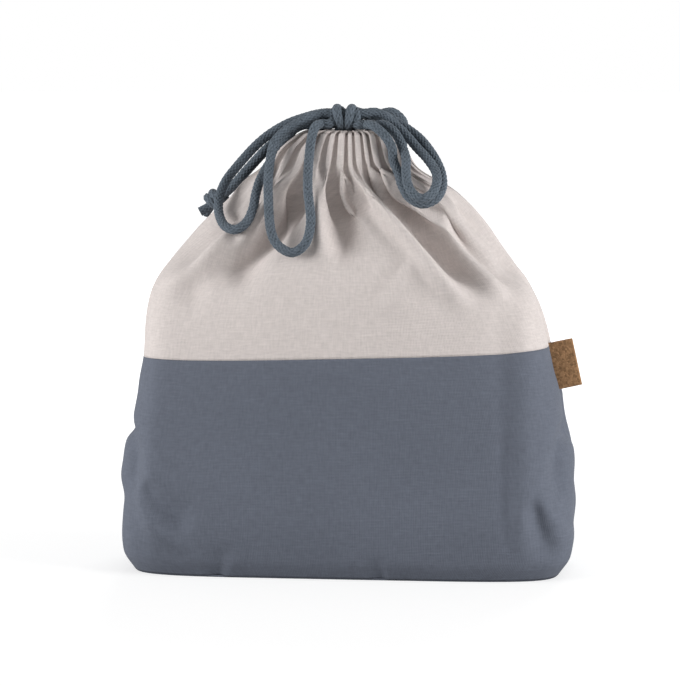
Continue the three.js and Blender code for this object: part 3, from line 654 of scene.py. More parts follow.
def crease_shift(crease, points):
    """How far out a crease moves points (x, height): down in its valley and up on its lip."""
    line = cord_route(crease.places)
    run = np.gradient(line, axis=0)
    run /= np.linalg.norm(run, axis=1, keepdims=True)
    gaps = np.linalg.norm(points[:, None, :] - line[None, :, :], axis=2)
    nearest = gaps.argmin(axis=1)
    along = nearest / (len(line) - 1)
    offset = points - line[nearest]
    to_right = offset[:, 0] * run[nearest, 1] - offset[:, 1] * run[nearest, 0]
    start_width, widening = 0.6, 0.8
    away = gaps.min(axis=1) / (crease.width * (start_width + widening * along))
    away = np.where(to_right * crease.lip < 0, -away, away)
    if crease.lip:
        steep, gentle, lip_place = 0.6, 1.3, 1.2
        valley = np.exp(-((away / np.where(away > 0, steep, gentle)) ** 2))
        lip = abs(crease.lip) * np.exp(-(((away - lip_place) / steep) ** 2))
    else:
        valley, lip = np.exp(-(away**2)), 0.0
    full_from, full_to = 0.2, 0.68
    amount = smooth_step(0, full_from, along) * (1 - smooth_step(full_to, 1, along))
    return crease.depth * amount * (lip - valley)


def press_creases(mesh):
    """Presses the creases into the cloth's outside, along its normals."""
    places = vertex_places(mesh)
    rows = cloth_rows()
    outside = np.array([rows[row].inset == 0 for row in vertex_values(mesh, "row")])
    shift = np.zeros(len(places))
    for side, creases in ((FRONT, FRONT_CREASES), (BACK, BACK_CREASES)):
        facing = smooth_step(*CREASE_FACING, side * places[:, 1]) * outside
        for crease in creases:
            shift += crease_shift(crease, places[:, (0, 2)]) * facing
    sunk = smooth_step(*CREST_RISE, places[:, 2]) * smooth_step(*CREST_DEPTHS, np.abs(places[:, 1]))
    shift -= CREST_ROOM * sunk
    shift *= 1 - smooth_step(*CREASE_FALL, places[:, 2])
    pressed = places + vertex_normals(mesh) * shift[:, None]
    mesh.vertices.foreach_set("co", pressed.astype(np.float32).ravel())
    mesh.update()


def panel_piece(source, panel, name, material, thickness):
    """One panel of the cloth as a piece, with the canvas's thickness on its inside."""
    bm = bmesh.new()
    bm.from_mesh(source)
    layer = bm.faces.layers.int["panel"]
    others = [face for face in bm.faces if face[layer] != PANELS[panel]]
    bmesh.ops.delete(bm, geom=others, context="FACES")
    return cloth_piece(bm, name, material, thickness)


def cloth_piece(bm, name, material, thickness):
    """A mesh as a piece of rounded cloth, with the thickness on its inside."""
    piece = new_piece(bm, name, material)
    rounding = piece.modifiers.new("Rounding", "SUBSURF")
    rounding.levels = 1
    rounding.render_levels = 1
    rounding.boundary_smooth = "PRESERVE_CORNERS"
    wall = piece.modifiers.new("Canvas", "SOLIDIFY")
    wall.thickness = thickness
    wall.offset = -1
    return piece


def new_piece(bm, name, material):
    for face in bm.faces:
        face.smooth = True
    mesh = bpy.data.meshes.new(name)
    bm.to_mesh(mesh)
    bm.free()
    mesh.materials.append(material)
    piece = bpy.data.objects.new(name, mesh)
    bpy.context.scene.collection.objects.link(piece)
    return piece


def strip_piece(name, near, far, material, thickness):
    """A narrow strip of cloth between two lines of points."""
    last = len(near) - 1
    bm, uv = new_grid(last, 2, 0.5, "cut")
    width = float(np.linalg.norm(far[0] - near[0]))
    length = path_length(near)
    for face in bm.faces:
        for loop in face.loops:
            loop[uv].uv = (loop[uv].uv.x * length, loop[uv].uv.y * width)
    for vert in bm.verts:
        index = round((vert.co.x + 0.5) * last)
        share = vert.co.y + 0.5
        vert.co = near[index] * (1 - share) + far[index] * share
    return cloth_piece(bm, name, material, thickness)


# Cords


SPAN_POINTS = 40
NO_CORDS_WAY = (0.31, 0.17, 0.93)


def cord_route(points):
    """A smooth strand through given points: a centripetal Catmull-Rom curve, finely divided."""
    given = np.array(points, float)
    first = 2 * given[0] - given[1]
    last = 2 * given[-1] - given[-2]
    padded = np.vstack([first, given, last])
    spans = []
    for before, start, end, after in zip(padded[:-3], padded[1:-2], padded[2:-1], padded[3:]):
        gaps = [math.sqrt(np.linalg.norm(b - a)) for a, b in ((before, start), (start, end), (end, after))]
        leave = (start - before) / gaps[0] - (end - before) / (gaps[0] + gaps[1]) + (end - start) / gaps[1]
        arrive = (end - start) / gaps[1] - (after - start) / (gaps[1] + gaps[2]) + (after - end) / gaps[2]
        t = np.linspace(0, 1, SPAN_POINTS, endpoint=False)[:, None]
        hermite = (2 * t**3 - 3 * t**2 + 1) * start + (t**3 - 2 * t**2 + t) * leave * gaps[1]
        spans.append(hermite + (3 * t**2 - 2 * t**3) * end + (t**3 - t**2) * arrive * gaps[1])
    return np.vstack([*spans, given[-1:]])


def evenly_spaced(path, step):
    lengths = np.concatenate([[0], np.cumsum(np.linalg.norm(np.diff(path, axis=0), axis=1))])
    places = np.linspace(0, lengths[-1], max(8, round(lengths[-1] / step)) + 1)
    return np.column_stack([np.interp(places, lengths, path[:, axis]) for axis in range(3)])


def carried_frames(path):
    """Two unit vectors square to the path at each point, carried along it without twist.

    The first one is square to a way in which no cord sets out.
    """
    tangents = np.gradient(path, axis=0)
    tangents /= np.linalg.norm(tangents, axis=1, keepdims=True)
    normal = np.cross(tangents[0], NO_CORDS_WAY)
    normals = []
    for tangent in tangents:
        normal = normal - tangent * np.dot(normal, tangent)
        normal = normal / np.linalg.norm(normal)
        normals.append(normal)
    normals = np.array(normals)
    return normals, np.cross(tangents, normals)


def braid_height(around, along, cord):
    """Height of the braid, 0 to 1: two sets of strands that pass over and under each other."""
    lay = math.pi * along / cord.crossing
    one = cord.strands / 2 * around + lay
    other = cord.strands / 2 * around - lay
    over = np.cos(one) * np.cos(other)
    level, rise = 0.72, 0.28
    return np.maximum(np.cos(one) ** 2 * (level + rise * over), np.cos(other) ** 2 * (level - rise * over))


def braided_cord(name, path, cord, rough_end=False):
    """A closed braided cord along a path, with the braid in its surface."""
    path = evenly_spaced(path, cord.step)
    normals, binormals = carried_frames(path)
    rings = len(path) - 1
    along = np.linspace(0, path_length(path), rings + 1)[:, None]
    around = np.linspace(0, 2 * math.pi, cord.sides + 1)[None, :]
    height = braid_height(around, along, cord)
    radius = cord.diameter / 2 * (1 - cord.relief + cord.relief * height)
    if rough_end:
        fray = smooth_step(along[-1, 0] - FRAY_LENGTH, along[-1, 0], along)
        radius = radius * (1 + FRAY_SHARE * fray * np.sin(9 * around + 40 * height))
    one_way = normals[:, None, :] * np.cos(around)[:, :, None]
    other_way = binormals[:, None, :] * np.sin(around)[:, :, None]
    surface = path[:, None, :] + (one_way + other_way) * radius[:, :, None]
    bm, uv = new_grid(cord.sides, rings, 0.5, "cord")
    # The braid's height, which the cord's material also uses to paint shade between the strands.
    braid = bm.verts.layers.float.new("braid")
    for vert in bm.verts:
        side, ring = grid_place(vert, cord.sides, rings)
        vert.co = surface[ring, side]
        vert[braid] = height[ring, side]
    girth = math.pi * cord.diameter
    for face in bm.faces:
        for loop in face.loops:
            loop[uv].uv = (loop[uv].uv.x * girth, loop[uv].uv.y * along[-1, 0])
    rim = [vert for vert in bm.verts if vert.is_boundary]
    bmesh.ops.remove_doubles(bm, verts=rim, dist=MERGE_DISTANCE)
    bmesh.ops.holes_fill(bm, edges=[edge for edge in bm.edges if edge.is_boundary], sides=0)
    bmesh.ops.recalc_face_normals(bm, faces=bm.faces)
    return new_piece(bm, name, braided_cotton(bpy.context.scene))


def joined(parts, name):
    """Several pieces as one, in one mesh."""
    bm = bmesh.new()
    for part in parts:
        bm.from_mesh(part.data)
    piece = new_piece(bm, name, parts[0].data.materials[0])
    for part in parts:
        bpy.data.objects.remove(part)
    return piece


# Cord routes, in metres. They follow the solids' routes, and start inside the knot's wraps.

KNOT_LOW, KNOT_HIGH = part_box("bow_knot")
KNOT_MIDDLE = (KNOT_LOW + KNOT_HIGH) / 2
KNOT_GAP = 0.0005
KNOT_EXIT = 0.003
LEFT_FACE = KNOT_LOW.x - KNOT_GAP
RIGHT_FACE = KNOT_HIGH.x + KNOT_GAP
BACK_FACE = KNOT_HIGH.y + KNOT_GAP
UNDER_FACE = KNOT_LOW.z - KNOT_GAP
LEFT_EXIT = LEFT_FACE - KNOT_EXIT
RIGHT_EXIT = RIGHT_FACE + KNOT_EXIT
BACK_EXIT = BACK_FACE + KNOT_EXIT
UNDER_EXIT = UNDER_FACE - KNOT_EXIT

Loop = namedtuple("Loop", "name body pivots route")

LEFT_LONG_LOOP = Loop(
    "left_long_loop",
    "long_loop",
    (3, 13),
    (
        (LEFT_FACE, -0.0142, 0.2342),
        (LEFT_EXIT, -0.0142, 0.2342),
        (-0.0158, -0.0182, 0.2333),
        (-0.0176, -0.021, 0.2285),
        (-0.0188, -0.0256, 0.2158),
        (-0.0185, -0.033, 0.2017),
        (-0.016, -0.0427, 0.1832),
        (-0.0186, -0.0469, 0.1734),
        (-0.0246, -0.0485, 0.1694),
        (-0.0314, -0.0468, 0.1721),
        (-0.0358, -0.0435, 0.178),
        (-0.0392, -0.032, 0.1968),
        (-0.0397, -0.0247, 0.211),
        (-0.0373, -0.019, 0.225),
        (-0.0324, -0.0162, 0.2304),
        (-0.0254, -0.0142, 0.2346),
        (-0.018, -0.0122, 0.2382),
        (LEFT_EXIT, -0.0104, 0.2394),
        (LEFT_FACE, -0.0104, 0.2394),
    ),
)
LEFT_SIDE_LOOP = Loop(
    "left_side_loop",
    "side_loop",
    (8, 21),
    (
        (LEFT_FACE, -0.004, 0.2396),
        (LEFT_EXIT, -0.004, 0.2396),
        (-0.018, -0.0034, 0.2388),
        (-0.0245, -0.0024, 0.237),
        (-0.0314, -0.0016, 0.2346),
        (-0.038, -0.002, 0.2312),
        (-0.045, -0.0028, 0.2264),
        (-0.0506, -0.0044, 0.2212),
        (-0.0544, -0.0058, 0.217),
        (-0.0594, -0.008, 0.211),
        (-0.0642, -0.011, 0.2044),
        (-0.067, -0.015, 0.197),
        (-0.067, -0.0206, 0.1904),
        (-0.0648, -0.0274, 0.185),
        (-0.0606, -0.0344, 0.1812),
        (-0.055, -0.0378, 0.1804),
        (-0.05, -0.037, 0.184),
        (-0.0472, -0.0328, 0.1906),
        (-0.0464, -0.0272, 0.198),
        (-0.0451, -0.0198, 0.205),
        (-0.0424, -0.0138, 0.2114),
        (-0.0389, -0.0108, 0.217),
        (-0.035, -0.0098, 0.222),
        (-0.0314, -0.0088, 0.2276),
        (-0.0266, -0.0079, 0.2328),
        (-0.02, -0.0075, 0.2335),
        (LEFT_EXIT, -0.0074, 0.2338),
        (LEFT_FACE, -0.0074, 0.2338),
    ),
)
RIGHT_FRONT_LOOP = Loop(
    "right_front_loop",
    "right_loop",
    (5, 15),
    (
        (RIGHT_FACE, -0.0069, 0.2338),
        (RIGHT_EXIT, -0.0069, 0.2338),
        (0.0136, -0.0104, 0.2335),
        (0.0194, -0.0136, 0.2338),
        (0.0256, -0.0172, 0.2292),
        (0.02949, -0.01999, 0.222),
        (0.0316, -0.025, 0.2166),
        (0.032, -0.0298, 0.2108),
        (0.0332, -0.0352, 0.2046),
        (0.0362, -0.039, 0.1996),
        (0.0412, -0.0412, 0.197),
        (0.0456, -0.0386, 0.199),
        (0.048, -0.033, 0.2042),
        (0.0472, -0.0264, 0.2098),
        (0.0424, -0.0206, 0.2164),
        (0.03651, -0.01521, 0.222),
        (0.0302, -0.0118, 0.2288),
        (0.024, -0.009, 0.2342),
        (0.0186, -0.008, 0.2384),
        (0.0136, -0.0092, 0.2402),
        (RIGHT_EXIT, -0.0102, 0.2396),
        (RIGHT_FACE, -0.0102, 0.2396),
    ),
)
RIGHT_BACK_LOOP = Loop(
    "right_back_loop",
    "right_loop",
    (5, 15),
    (
        (RIGHT_FACE, -0.0142, 0.2338),
        (RIGHT_EXIT, -0.0142, 0.2338),
        (0.013, -0.0182, 0.2338),
        (0.0174, -0.0218, 0.2312),
        (0.0216, -0.0236, 0.227),
        (0.0242, -0.0236, 0.222),
        (0.0248, -0.0228, 0.216),
        (0.0276, -0.0246, 0.2094),
        (0.03, -0.0292, 0.203),
        (0.034, -0.0334, 0.1972),
        (0.0406, -0.0352, 0.194),
        (0.047, -0.0328, 0.196),
        (0.0504, -0.0272, 0.2014),
        (0.0498, -0.0206, 0.2084),
        (0.0464, -0.0154, 0.2156),
        (0.0418, -0.0116, 0.222),
        (0.0374, -0.008, 0.2266),
        (0.0314, -0.0046, 0.231),
        (0.025, -0.0024, 0.2348),
        (0.0184, -0.0019, 0.2382),
        (0.013, -0.0028, 0.2398),
        (RIGHT_EXIT, -0.0038, 0.2396),
        (RIGHT_FACE, -0.0038, 0.2396),
    ),
)

Tail = namedtuple("Tail", "name pivot route")

LEFT_TAIL_FRONT = Tail(
    "left_tail_front",
    6,
    (
        (-0.0052, BACK_FACE, 0.2406),
        (-0.0052, BACK_EXIT, 0.2406),
        (-0.0085, 0.0072, 0.2402),
        (-0.0145, 0.008, 0.2378),
        (-0.024, 0.0066, 0.2349),
        (-0.0338, 0.005, 0.2292),
        (-0.0435, 0.0038, 0.2217),
        (-0.0545, 0.005, 0.2104),
        (-0.0624, 0.007, 0.2017),
        (-0.068, 0.008, 0.1968),
    ),
)
LEFT_TAIL_BACK = Tail(
    "left_tail_back",
    6,
    (
        (-0.0052, BACK_FACE, 0.234),
        (-0.0052, BACK_EXIT, 0.234),
        (-0.0082, 0.0104, 0.2336),
        (-0.015, 0.0144, 0.2344),
        (-0.0246, 0.0136, 0.2334),
        (-0.0346, 0.0118, 0.2286),
        (-0.0435, 0.0103, 0.2217),
        (-0.0545, 0.0115, 0.2104),
        (-0.0624, 0.0135, 0.2017),
        (-0.068, 0.0145, 0.1968),
    ),
)
RIGHT_TAIL_OUTER = Tail(
    "right_tail_outer",
    7,
    (
        (0.0012, BACK_FACE, 0.2408),
        (0.0012, BACK_EXIT, 0.2408),
        (0.0046, 0.0072, 0.2396),
        (0.0095, 0.008, 0.2379),
        (0.015, 0.0082, 0.2389),
        (0.0214, 0.0094, 0.2398),
        (0.0266, 0.014, 0.235),
        (0.0265, 0.0205, 0.228),
        (0.0255, 0.0245, 0.219),
        (0.0256, 0.0282, 0.2095),
        (0.027, 0.033, 0.2),
        (0.029, 0.0388, 0.1915),
        (0.03, 0.0428, 0.1865),
    ),
)
RIGHT_TAIL_INNER = Tail(
    "right_tail_inner",
    6,
    (
        (0.0012, BACK_FACE, 0.2341),
        (0.0012, BACK_EXIT, 0.2341),
        (0.0042, 0.0102, 0.2334),
        (0.01, 0.0148, 0.2342),
        (0.0158, 0.0154, 0.236),
        (0.0198, 0.018, 0.2334),
        (0.02, 0.0205, 0.228),
        (0.0192, 0.0245, 0.219),
        (0.0192, 0.0286, 0.2095),
        (0.0206, 0.0332, 0.2),
        (0.0226, 0.0389, 0.1915),
        (0.0236, 0.0429, 0.1865),
    ),
)

LEFT_FRONT_LEAD = (
    (-0.0217, -0.0034, 0.2258),
    (-0.02, -0.0026, 0.229),
    (-0.017, -0.0012, 0.2316),
    (LEFT_EXIT, -0.001, 0.2336),
    (LEFT_FACE, -0.001, 0.2336),
)
LEFT_BACK_LEAD = (
    (-0.0215, 0.003, 0.224),
    (-0.018, 0.0026, 0.2223),
    (-0.0125, 0.001, 0.2223),
    (-0.0074, -0.0026, 0.2246),
    (-0.0055, -0.0045, UNDER_EXIT),
    (-0.0055, -0.0045, UNDER_FACE),
)
RIGHT_FRONT_LEAD = (
    (0.0248, -0.0032, 0.217),
    (0.0226, -0.003, 0.2138),
    (0.017, -0.0028, 0.2126),
    (0.0128, -0.003, 0.2164),
    (0.0118, -0.0028, 0.2236),
    (0.011, -0.0014, 0.2304),
    (RIGHT_EXIT, -0.0005, 0.2336),
    (RIGHT_FACE, -0.0005, 0.2336),
)
RIGHT_BACK_LEAD = (
    (0.0248, 0.003, 0.2162),
    (0.023, 0.003, 0.2122),
    (0.017, 0.0032, 0.2092),
    (0.009, 0.0006, 0.2106),
    (0.0036, -0.0032, 0.2166),
    (0.001, -0.0045, UNDER_EXIT),
    (0.001, -0.0045, UNDER_FACE),
)
CORD_INSET = 0.0063
UPPER_CORD_LEVEL = 0.2246
LOWER_CORD_LEVEL = 0.2174
CASING_HALF_GAP = 0.0065
RUN_SPANS = 8

# The right tail's roots end some points of their routes short of the pivot.
ROOT_SHORT_OF_PIVOT = 12

# The bow's wraps: how far right of the knot's middle each lies, how far its top leans to the right, and its
# size as a share of the knot. The strands inside them: y, height.
KnotWrap = namedtuple("KnotWrap", "name right lean size")
KNOT_WRAPS = (
    KnotWrap("wrap_left", -0.0031, -0.0012, 1.0),
    KnotWrap("wrap_middle", 0.0024, 0.0011, 1.0),
    KnotWrap("wrap_right", 0.0057, 0.0006, 0.72),
)
KNOT_STRANDS = ((-0.0112, 0.2358), (-0.0056, 0.2358), (-0.0112, 0.2396), (-0.0056, 0.2396))
KNOT_STRAND_SHARES = (0.02, 0.3, 0.6, 0.98)
WRAP_ADVANCE = 0.0002

# End knots, from where a tail's strands end: how far along each strand is straight, its further places
# (along, apart, turned), and the wrap
END_STRAIGHT = (-0.002, 0.001)
END_STRAND = ((0.005, 0.0024, 0.0), (0.0115, 0.0027, 0.0), (0.017, 0.0042, 0.0012))
END_WRAP_TURNS = 1.75
END_WRAP_START = 0.0028
END_WRAP_LENGTH = 0.0062
END_WRAP_HALF_WIDTH = 0.0052
END_WRAP_HALF_DEPTH = 0.0042
END_WRAP_TUCKS = (0.004, 0.008)
END_WRAP_TUCK_SHARE = 0.55

# A cut end frays over a short length, by a share of the cord's radius
FRAY_LENGTH = 0.002
FRAY_SHARE = 0.10


def into_knot(point):
    """A place inside the knot's wraps, near where a strand meets the knot."""
    middle = Vector(KNOT_MIDDLE)
    inside_share = 0.55
    return tuple(Vector(point).lerp(middle, inside_share))


def drawstring_route(front_lead, back_lead, level, ends_side):
    """From the knot down into the front casing, round the mouth and back up to the knot."""
    front = half_outline(FRONT, level, CORD_INSET, CASING_HALF_GAP, RUN_SPANS)
    back = half_outline(BACK, level, CORD_INSET, CASING_HALF_GAP, RUN_SPANS)
    if ends_side > 0:
        front, back = front[::-1], back[::-1]
    bend = np.array([[-ends_side * (half_width_at(level) - CORD_INSET), 0.0]])
    ring = np.vstack([front, bend, back])
    ring = np.column_stack([ring, np.full(len(ring), level)])
    start = [into_knot(front_lead[-1]), *front_lead[::-1]]
    end = [*back_lead, into_knot(back_lead[-1])]
    return cord_route([*start, *ring.tolist(), *end])


# Materials


def add_node(tree, kind, inputs=None, **settings):
    """A node with its settings, and with its inputs set to values or linked to other nodes' outputs."""
    node = tree.nodes.new(kind)
    for name, value in settings.items():
        setattr(node, name, value)
    for name, value in (inputs or {}).items():
        if isinstance(value, bpy.types.NodeSocket):
            tree.links.new(value, node.inputs[name])
        else:
            node.inputs[name].default_value = value
    return node


def calculate(tree, operation, *values):
    node = tree.nodes.new("ShaderNodeMath")
    node.operation = operation
    for index, value in enumerate(values):
        if isinstance(value, bpy.types.NodeSocket):
            tree.links.new(value, node.inputs[index])
        else:
            node.inputs[index].default_value = value
    return node.outputs[0]


def new_material(name):
    material = bpy.data.materials.new(name)
    material.use_nodes = True
    tree = material.node_tree
    return material, tree, tree.nodes["Principled BSDF"]


def blend_colours(tree, share, low, high):
    node = add_node(tree, "ShaderNodeMix", data_type="RGBA")
    tree.links.new(share, node.inputs["Factor"])
    node.inputs[6].default_value = (*low, 1)
    node.inputs[7].default_value = (*high, 1)
    return node.outputs[2]


def stretched_noise(tree, vector, stretch, detail=2.0):
    scaled = add_node(
        tree, "ShaderNodeVectorMath", operation="MULTIPLY", inputs={0: vector, 1: stretch}
    ).outputs[0]
    noise_node = add_node(
        tree, "ShaderNodeTexNoise", inputs={"Vector": scaled, "Scale": 1.0, "Detail": detail}
    )
    return noise_node.outputs["Fac"]


def faded(tree, value, low, high):
    """0 below the low value and 1 above the high one, with a smooth rise between them."""
    node = add_node(
        tree,
        "ShaderNodeMapRange",
        interpolation_type="SMOOTHSTEP",
        inputs={"Value": value, "From Min": low, "From Max": high},
    )
    return node.outputs[0]


def dress(tree, shader, colour, height, strength, depth, plain):
    """Links a colour and a bump to a shader, and sets its plain inputs."""
    tree.links.new(colour, shader.inputs["Base Color"])
    bump = add_node(
        tree, "ShaderNodeBump", inputs={"Height": height, "Strength": strength, "Distance": depth}
    )
    tree.links.new(bump.outputs[0], shader.inputs["Normal"])
    for name, value in plain.items():
        shader.inputs[name].default_value = value


def weave_group():
    """Plain weave: height of the crossing threads, and a tone that changes from thread to thread, with
    painted shade where the threads dip under each other.
    """
    group = bpy.data.node_groups.new("Plain weave", "ShaderNodeTree")
    group.interface.new_socket("Vector", in_out="INPUT", socket_type="NodeSocketVector")
    group.interface.new_socket("Thread", in_out="INPUT", socket_type="NodeSocketFloat")
    group.interface.new_socket("Height", in_out="OUTPUT", socket_type="NodeSocketFloat")
    group.interface.new_socket("Tone", in_out="OUTPUT", socket_type="NodeSocketFloat")
    given = group.nodes.new("NodeGroupInput")
    result = group.nodes.new("NodeGroupOutput")
    per_metre = calculate(group, "DIVIDE", 1.0, given.outputs["Thread"])
    threads = add_node(
        group,
        "ShaderNodeVectorMath",
        operation="SCALE",
        inputs={0: given.outputs["Vector"], "Scale": per_metre},
    ).outputs[0]
    parts = add_node(group, "ShaderNodeSeparateXYZ", inputs={0: threads})
    warp_wave = calculate(group, "SINE", calculate(group, "MULTIPLY", parts.outputs[0], math.pi))
    weft_wave = calculate(group, "SINE", calculate(group, "MULTIPLY", parts.outputs[1], math.pi))
    over = calculate(group, "MULTIPLY", warp_wave, weft_wave)
    level, rise = 0.6, 0.4
    warp_lift = calculate(group, "MULTIPLY_ADD", over, rise, level)
    weft_lift = calculate(group, "MULTIPLY_ADD", over, -rise, level)
    warp = calculate(group, "MULTIPLY", calculate(group, "ABSOLUTE", warp_wave), warp_lift)
    weft = calculate(group, "MULTIPLY", calculate(group, "ABSOLUTE", weft_wave), weft_lift)
    crossing = calculate(group, "MAXIMUM", warp, weft)
    warp_tone = stretched_noise(group, threads, (0.8, 0.14, 0.0))
    weft_tone = stretched_noise(group, threads, (0.16, 0.8, 3.0))
    slub_place = stretched_noise(group, threads, (0.05, 0.5, 9.0), detail=0.0)
    slub = faded(group, slub_place, low=0.66, high=0.78)
    middle, contrast = 0.5, 1.8
    tone = calculate(group, "MULTIPLY_ADD", calculate(group, "ADD", warp_tone, weft_tone), 0.5, 0.0)
    tone = calculate(group, "MULTIPLY_ADD", calculate(group, "SUBTRACT", tone, middle), contrast, middle)
    slub_tone, crossing_shade, thread_tone = 0.14, 0.16, 0.9
    tone = calculate(group, "MULTIPLY_ADD", slub, slub_tone, tone)
    thread_share = calculate(group, "MULTIPLY", tone, thread_tone)
    # Painted shade: the weave is darker where its threads dip under each other, lighter where they cross
    # over.
    shaded = calculate(group, "MULTIPLY_ADD", crossing, crossing_shade, thread_share)
    slub_height, thread_height = 0.3, 0.5
    height = calculate(group, "MULTIPLY_ADD", slub, slub_height, crossing)
    height = calculate(group, "MULTIPLY_ADD", tone, thread_height, height)
    group.links.new(height, result.inputs["Height"])
    group.links.new(shaded, result.inputs["Tone"])
    return group


def canvas_material(name, colour, contrast, weave, thread):
    """Matt cotton canvas in its own weave, with painted shade where its threads dip under each other, and a
    slow random change of tone over the cloth.
    """
    material, tree, shader = new_material(name)
    cut = add_node(tree, "ShaderNodeUVMap", uv_map="cut").outputs[0]
    threads = add_node(tree, "ShaderNodeGroup", node_tree=weave, inputs={"Vector": cut, "Thread": thread})
    place = add_node(tree, "ShaderNodeTexCoord").outputs["Object"]
    patches = stretched_noise(tree, place, (14.0, 14.0, 14.0), detail=3.0)
    patch_tone = 0.5
    patch = calculate(tree, "MULTIPLY_ADD", patches, patch_tone, -patch_tone / 2)
    share = calculate(tree, "ADD", threads.outputs["Tone"], patch)
    low = [channel * (1 - contrast) for channel in colour]
    high = [min(1.0, channel * (1 + contrast)) for channel in colour]
    cotton = {"Roughness": 0.93, "Specular IOR Level": 0.2, "Sheen Weight": 0.05, "Sheen Roughness": 0.5}
    shade = blend_colours(tree, share, low, high)
    dress(tree, shader, shade, threads.outputs["Height"], strength=0.6, depth=0.0002, plain=cotton)
    return material


def cord_material(colour):
    """Soft cotton: painted shade between the strands, with fine yarns and loose fibres."""
    material, tree, shader = new_material("Braided cotton")
    braid = add_node(tree, "ShaderNodeAttribute", attribute_name="braid").outputs["Fac"]
    along = add_node(tree, "ShaderNodeUVMap", uv_map="cord").outputs[0]
    yarn = stretched_noise(tree, along, (2600.0, 1500.0, 1.0), detail=3.0)
    cloudy = stretched_noise(tree, along, (180.0, 90.0, 1.0), detail=2.0)
    fleck_place = stretched_noise(tree, along, (1100.0, 620.0, 1.0), detail=2.0)
    flecks = faded(tree, fleck_place, low=0.5, high=0.68)
    braid_shade, yarn_tone, cloud_tone, fleck_tone, darker = 0.46, 0.55, 0.35, -0.32, 0.12
    # Painted shade: the cord is darker where the braid's strands dip between each other.
    share = calculate(tree, "MULTIPLY_ADD", braid, braid_shade, calculate(tree, "MULTIPLY", yarn, yarn_tone))
    share = calculate(tree, "MULTIPLY_ADD", cloudy, cloud_tone, calculate(tree, "SUBTRACT", share, darker))
    share = calculate(tree, "MULTIPLY_ADD", flecks, fleck_tone, share)
    darkest, lightest = 0.22, 1.75
    low = [channel * darkest for channel in colour]
    high = [channel * lightest for channel in colour]
    yarn_height = 0.6
    height = calculate(tree, "MULTIPLY_ADD", yarn, yarn_height, braid)
    cotton = {"Roughness": 0.9, "Specular IOR Level": 0.2, "Sheen Weight": 0.2, "Sheen Roughness": 0.4}
    shade = blend_colours(tree, share, low, high)
    dress(tree, shader, shade, height, strength=0.6, depth=0.0003, plain=cotton)
    return material


def cork_material(colour, granule):
    """Pressed cork: grains of several browns, dark specks and small pits."""
    material, tree, shader = new_material("Cork sheet")
    place = add_node(tree, "ShaderNodeTexCoord").outputs["Object"]
    grains = add_node(tree, "ShaderNodeTexVoronoi", inputs={"Vector": place, "Scale": 1 / granule})
    grey = add_node(tree, "ShaderNodeRGBToBW", inputs={0: grains.outputs["Color"]}).outputs[0]
    fine = stretched_noise(tree, place, (2200.0, 2200.0, 2200.0), detail=3.0)
    fine_tone, grain_tone = 0.5, 0.75
    share = calculate(tree, "MULTIPLY_ADD", fine, fine_tone, calculate(tree, "MULTIPLY", grey, grain_tone))
    darkest, lightest = 0.32, 1.55
    low = [channel * darkest for channel in colour]
    high = [min(1.0, channel * lightest) for channel in colour]
    height = calculate(tree, "SUBTRACT", fine, grains.outputs["Distance"])
    cork = {"Roughness": 0.82, "Specular IOR Level": 0.1}
    shade = blend_colours(tree, share, low, high)
    dress(tree, shader, shade, height, strength=0.5, depth=0.0002, plain=cork)
    return material


def material_named(name, make):
    return bpy.data.materials.get(name) or make()


def canvas(scene, name, colour, contrast):
    weave = bpy.data.node_groups.get("Plain weave") or weave_group()
    thread = scene.lunchbag_cloth.thread
    return material_named(name, lambda: canvas_material(name, colour, contrast, weave, thread))


def cream_canvas(scene):
    return canvas(scene, "Cream canvas", scene.lunchbag_cloth.cream, contrast=0.16)


def slate_canvas(scene):
    return canvas(scene, "Slate canvas", scene.lunchbag_cloth.slate, contrast=0.20)


def braided_cotton(scene):
    return material_named("Braided cotton", lambda: cord_material(scene.lunchbag_cord.colour))


# Stage


Lamp = namedtuple("Lamp", "name place size power")
LAMPS = (
    Lamp("key_lamp", (-1.85, -0.8, 0.5), 1.2, "key"),
    Lamp("back_lamp", (0.2, 2.0, 0.6), 1.2, "back"),
    Lamp("fill_lamp", (1.9, -0.6, 0.6), 1.0, "fill"),
)
LAMP_AIM = (0, 0, 0.12)

# The floor glows to the camera, more so far from the bag
FLOOR_HALF_SIZE = 15
FLOOR_GREY = 0.45
FLOOR_GLOW = {"From Min": 0.2, "From Max": 1.6, "To Min": 0.62, "To Max": 0.9}


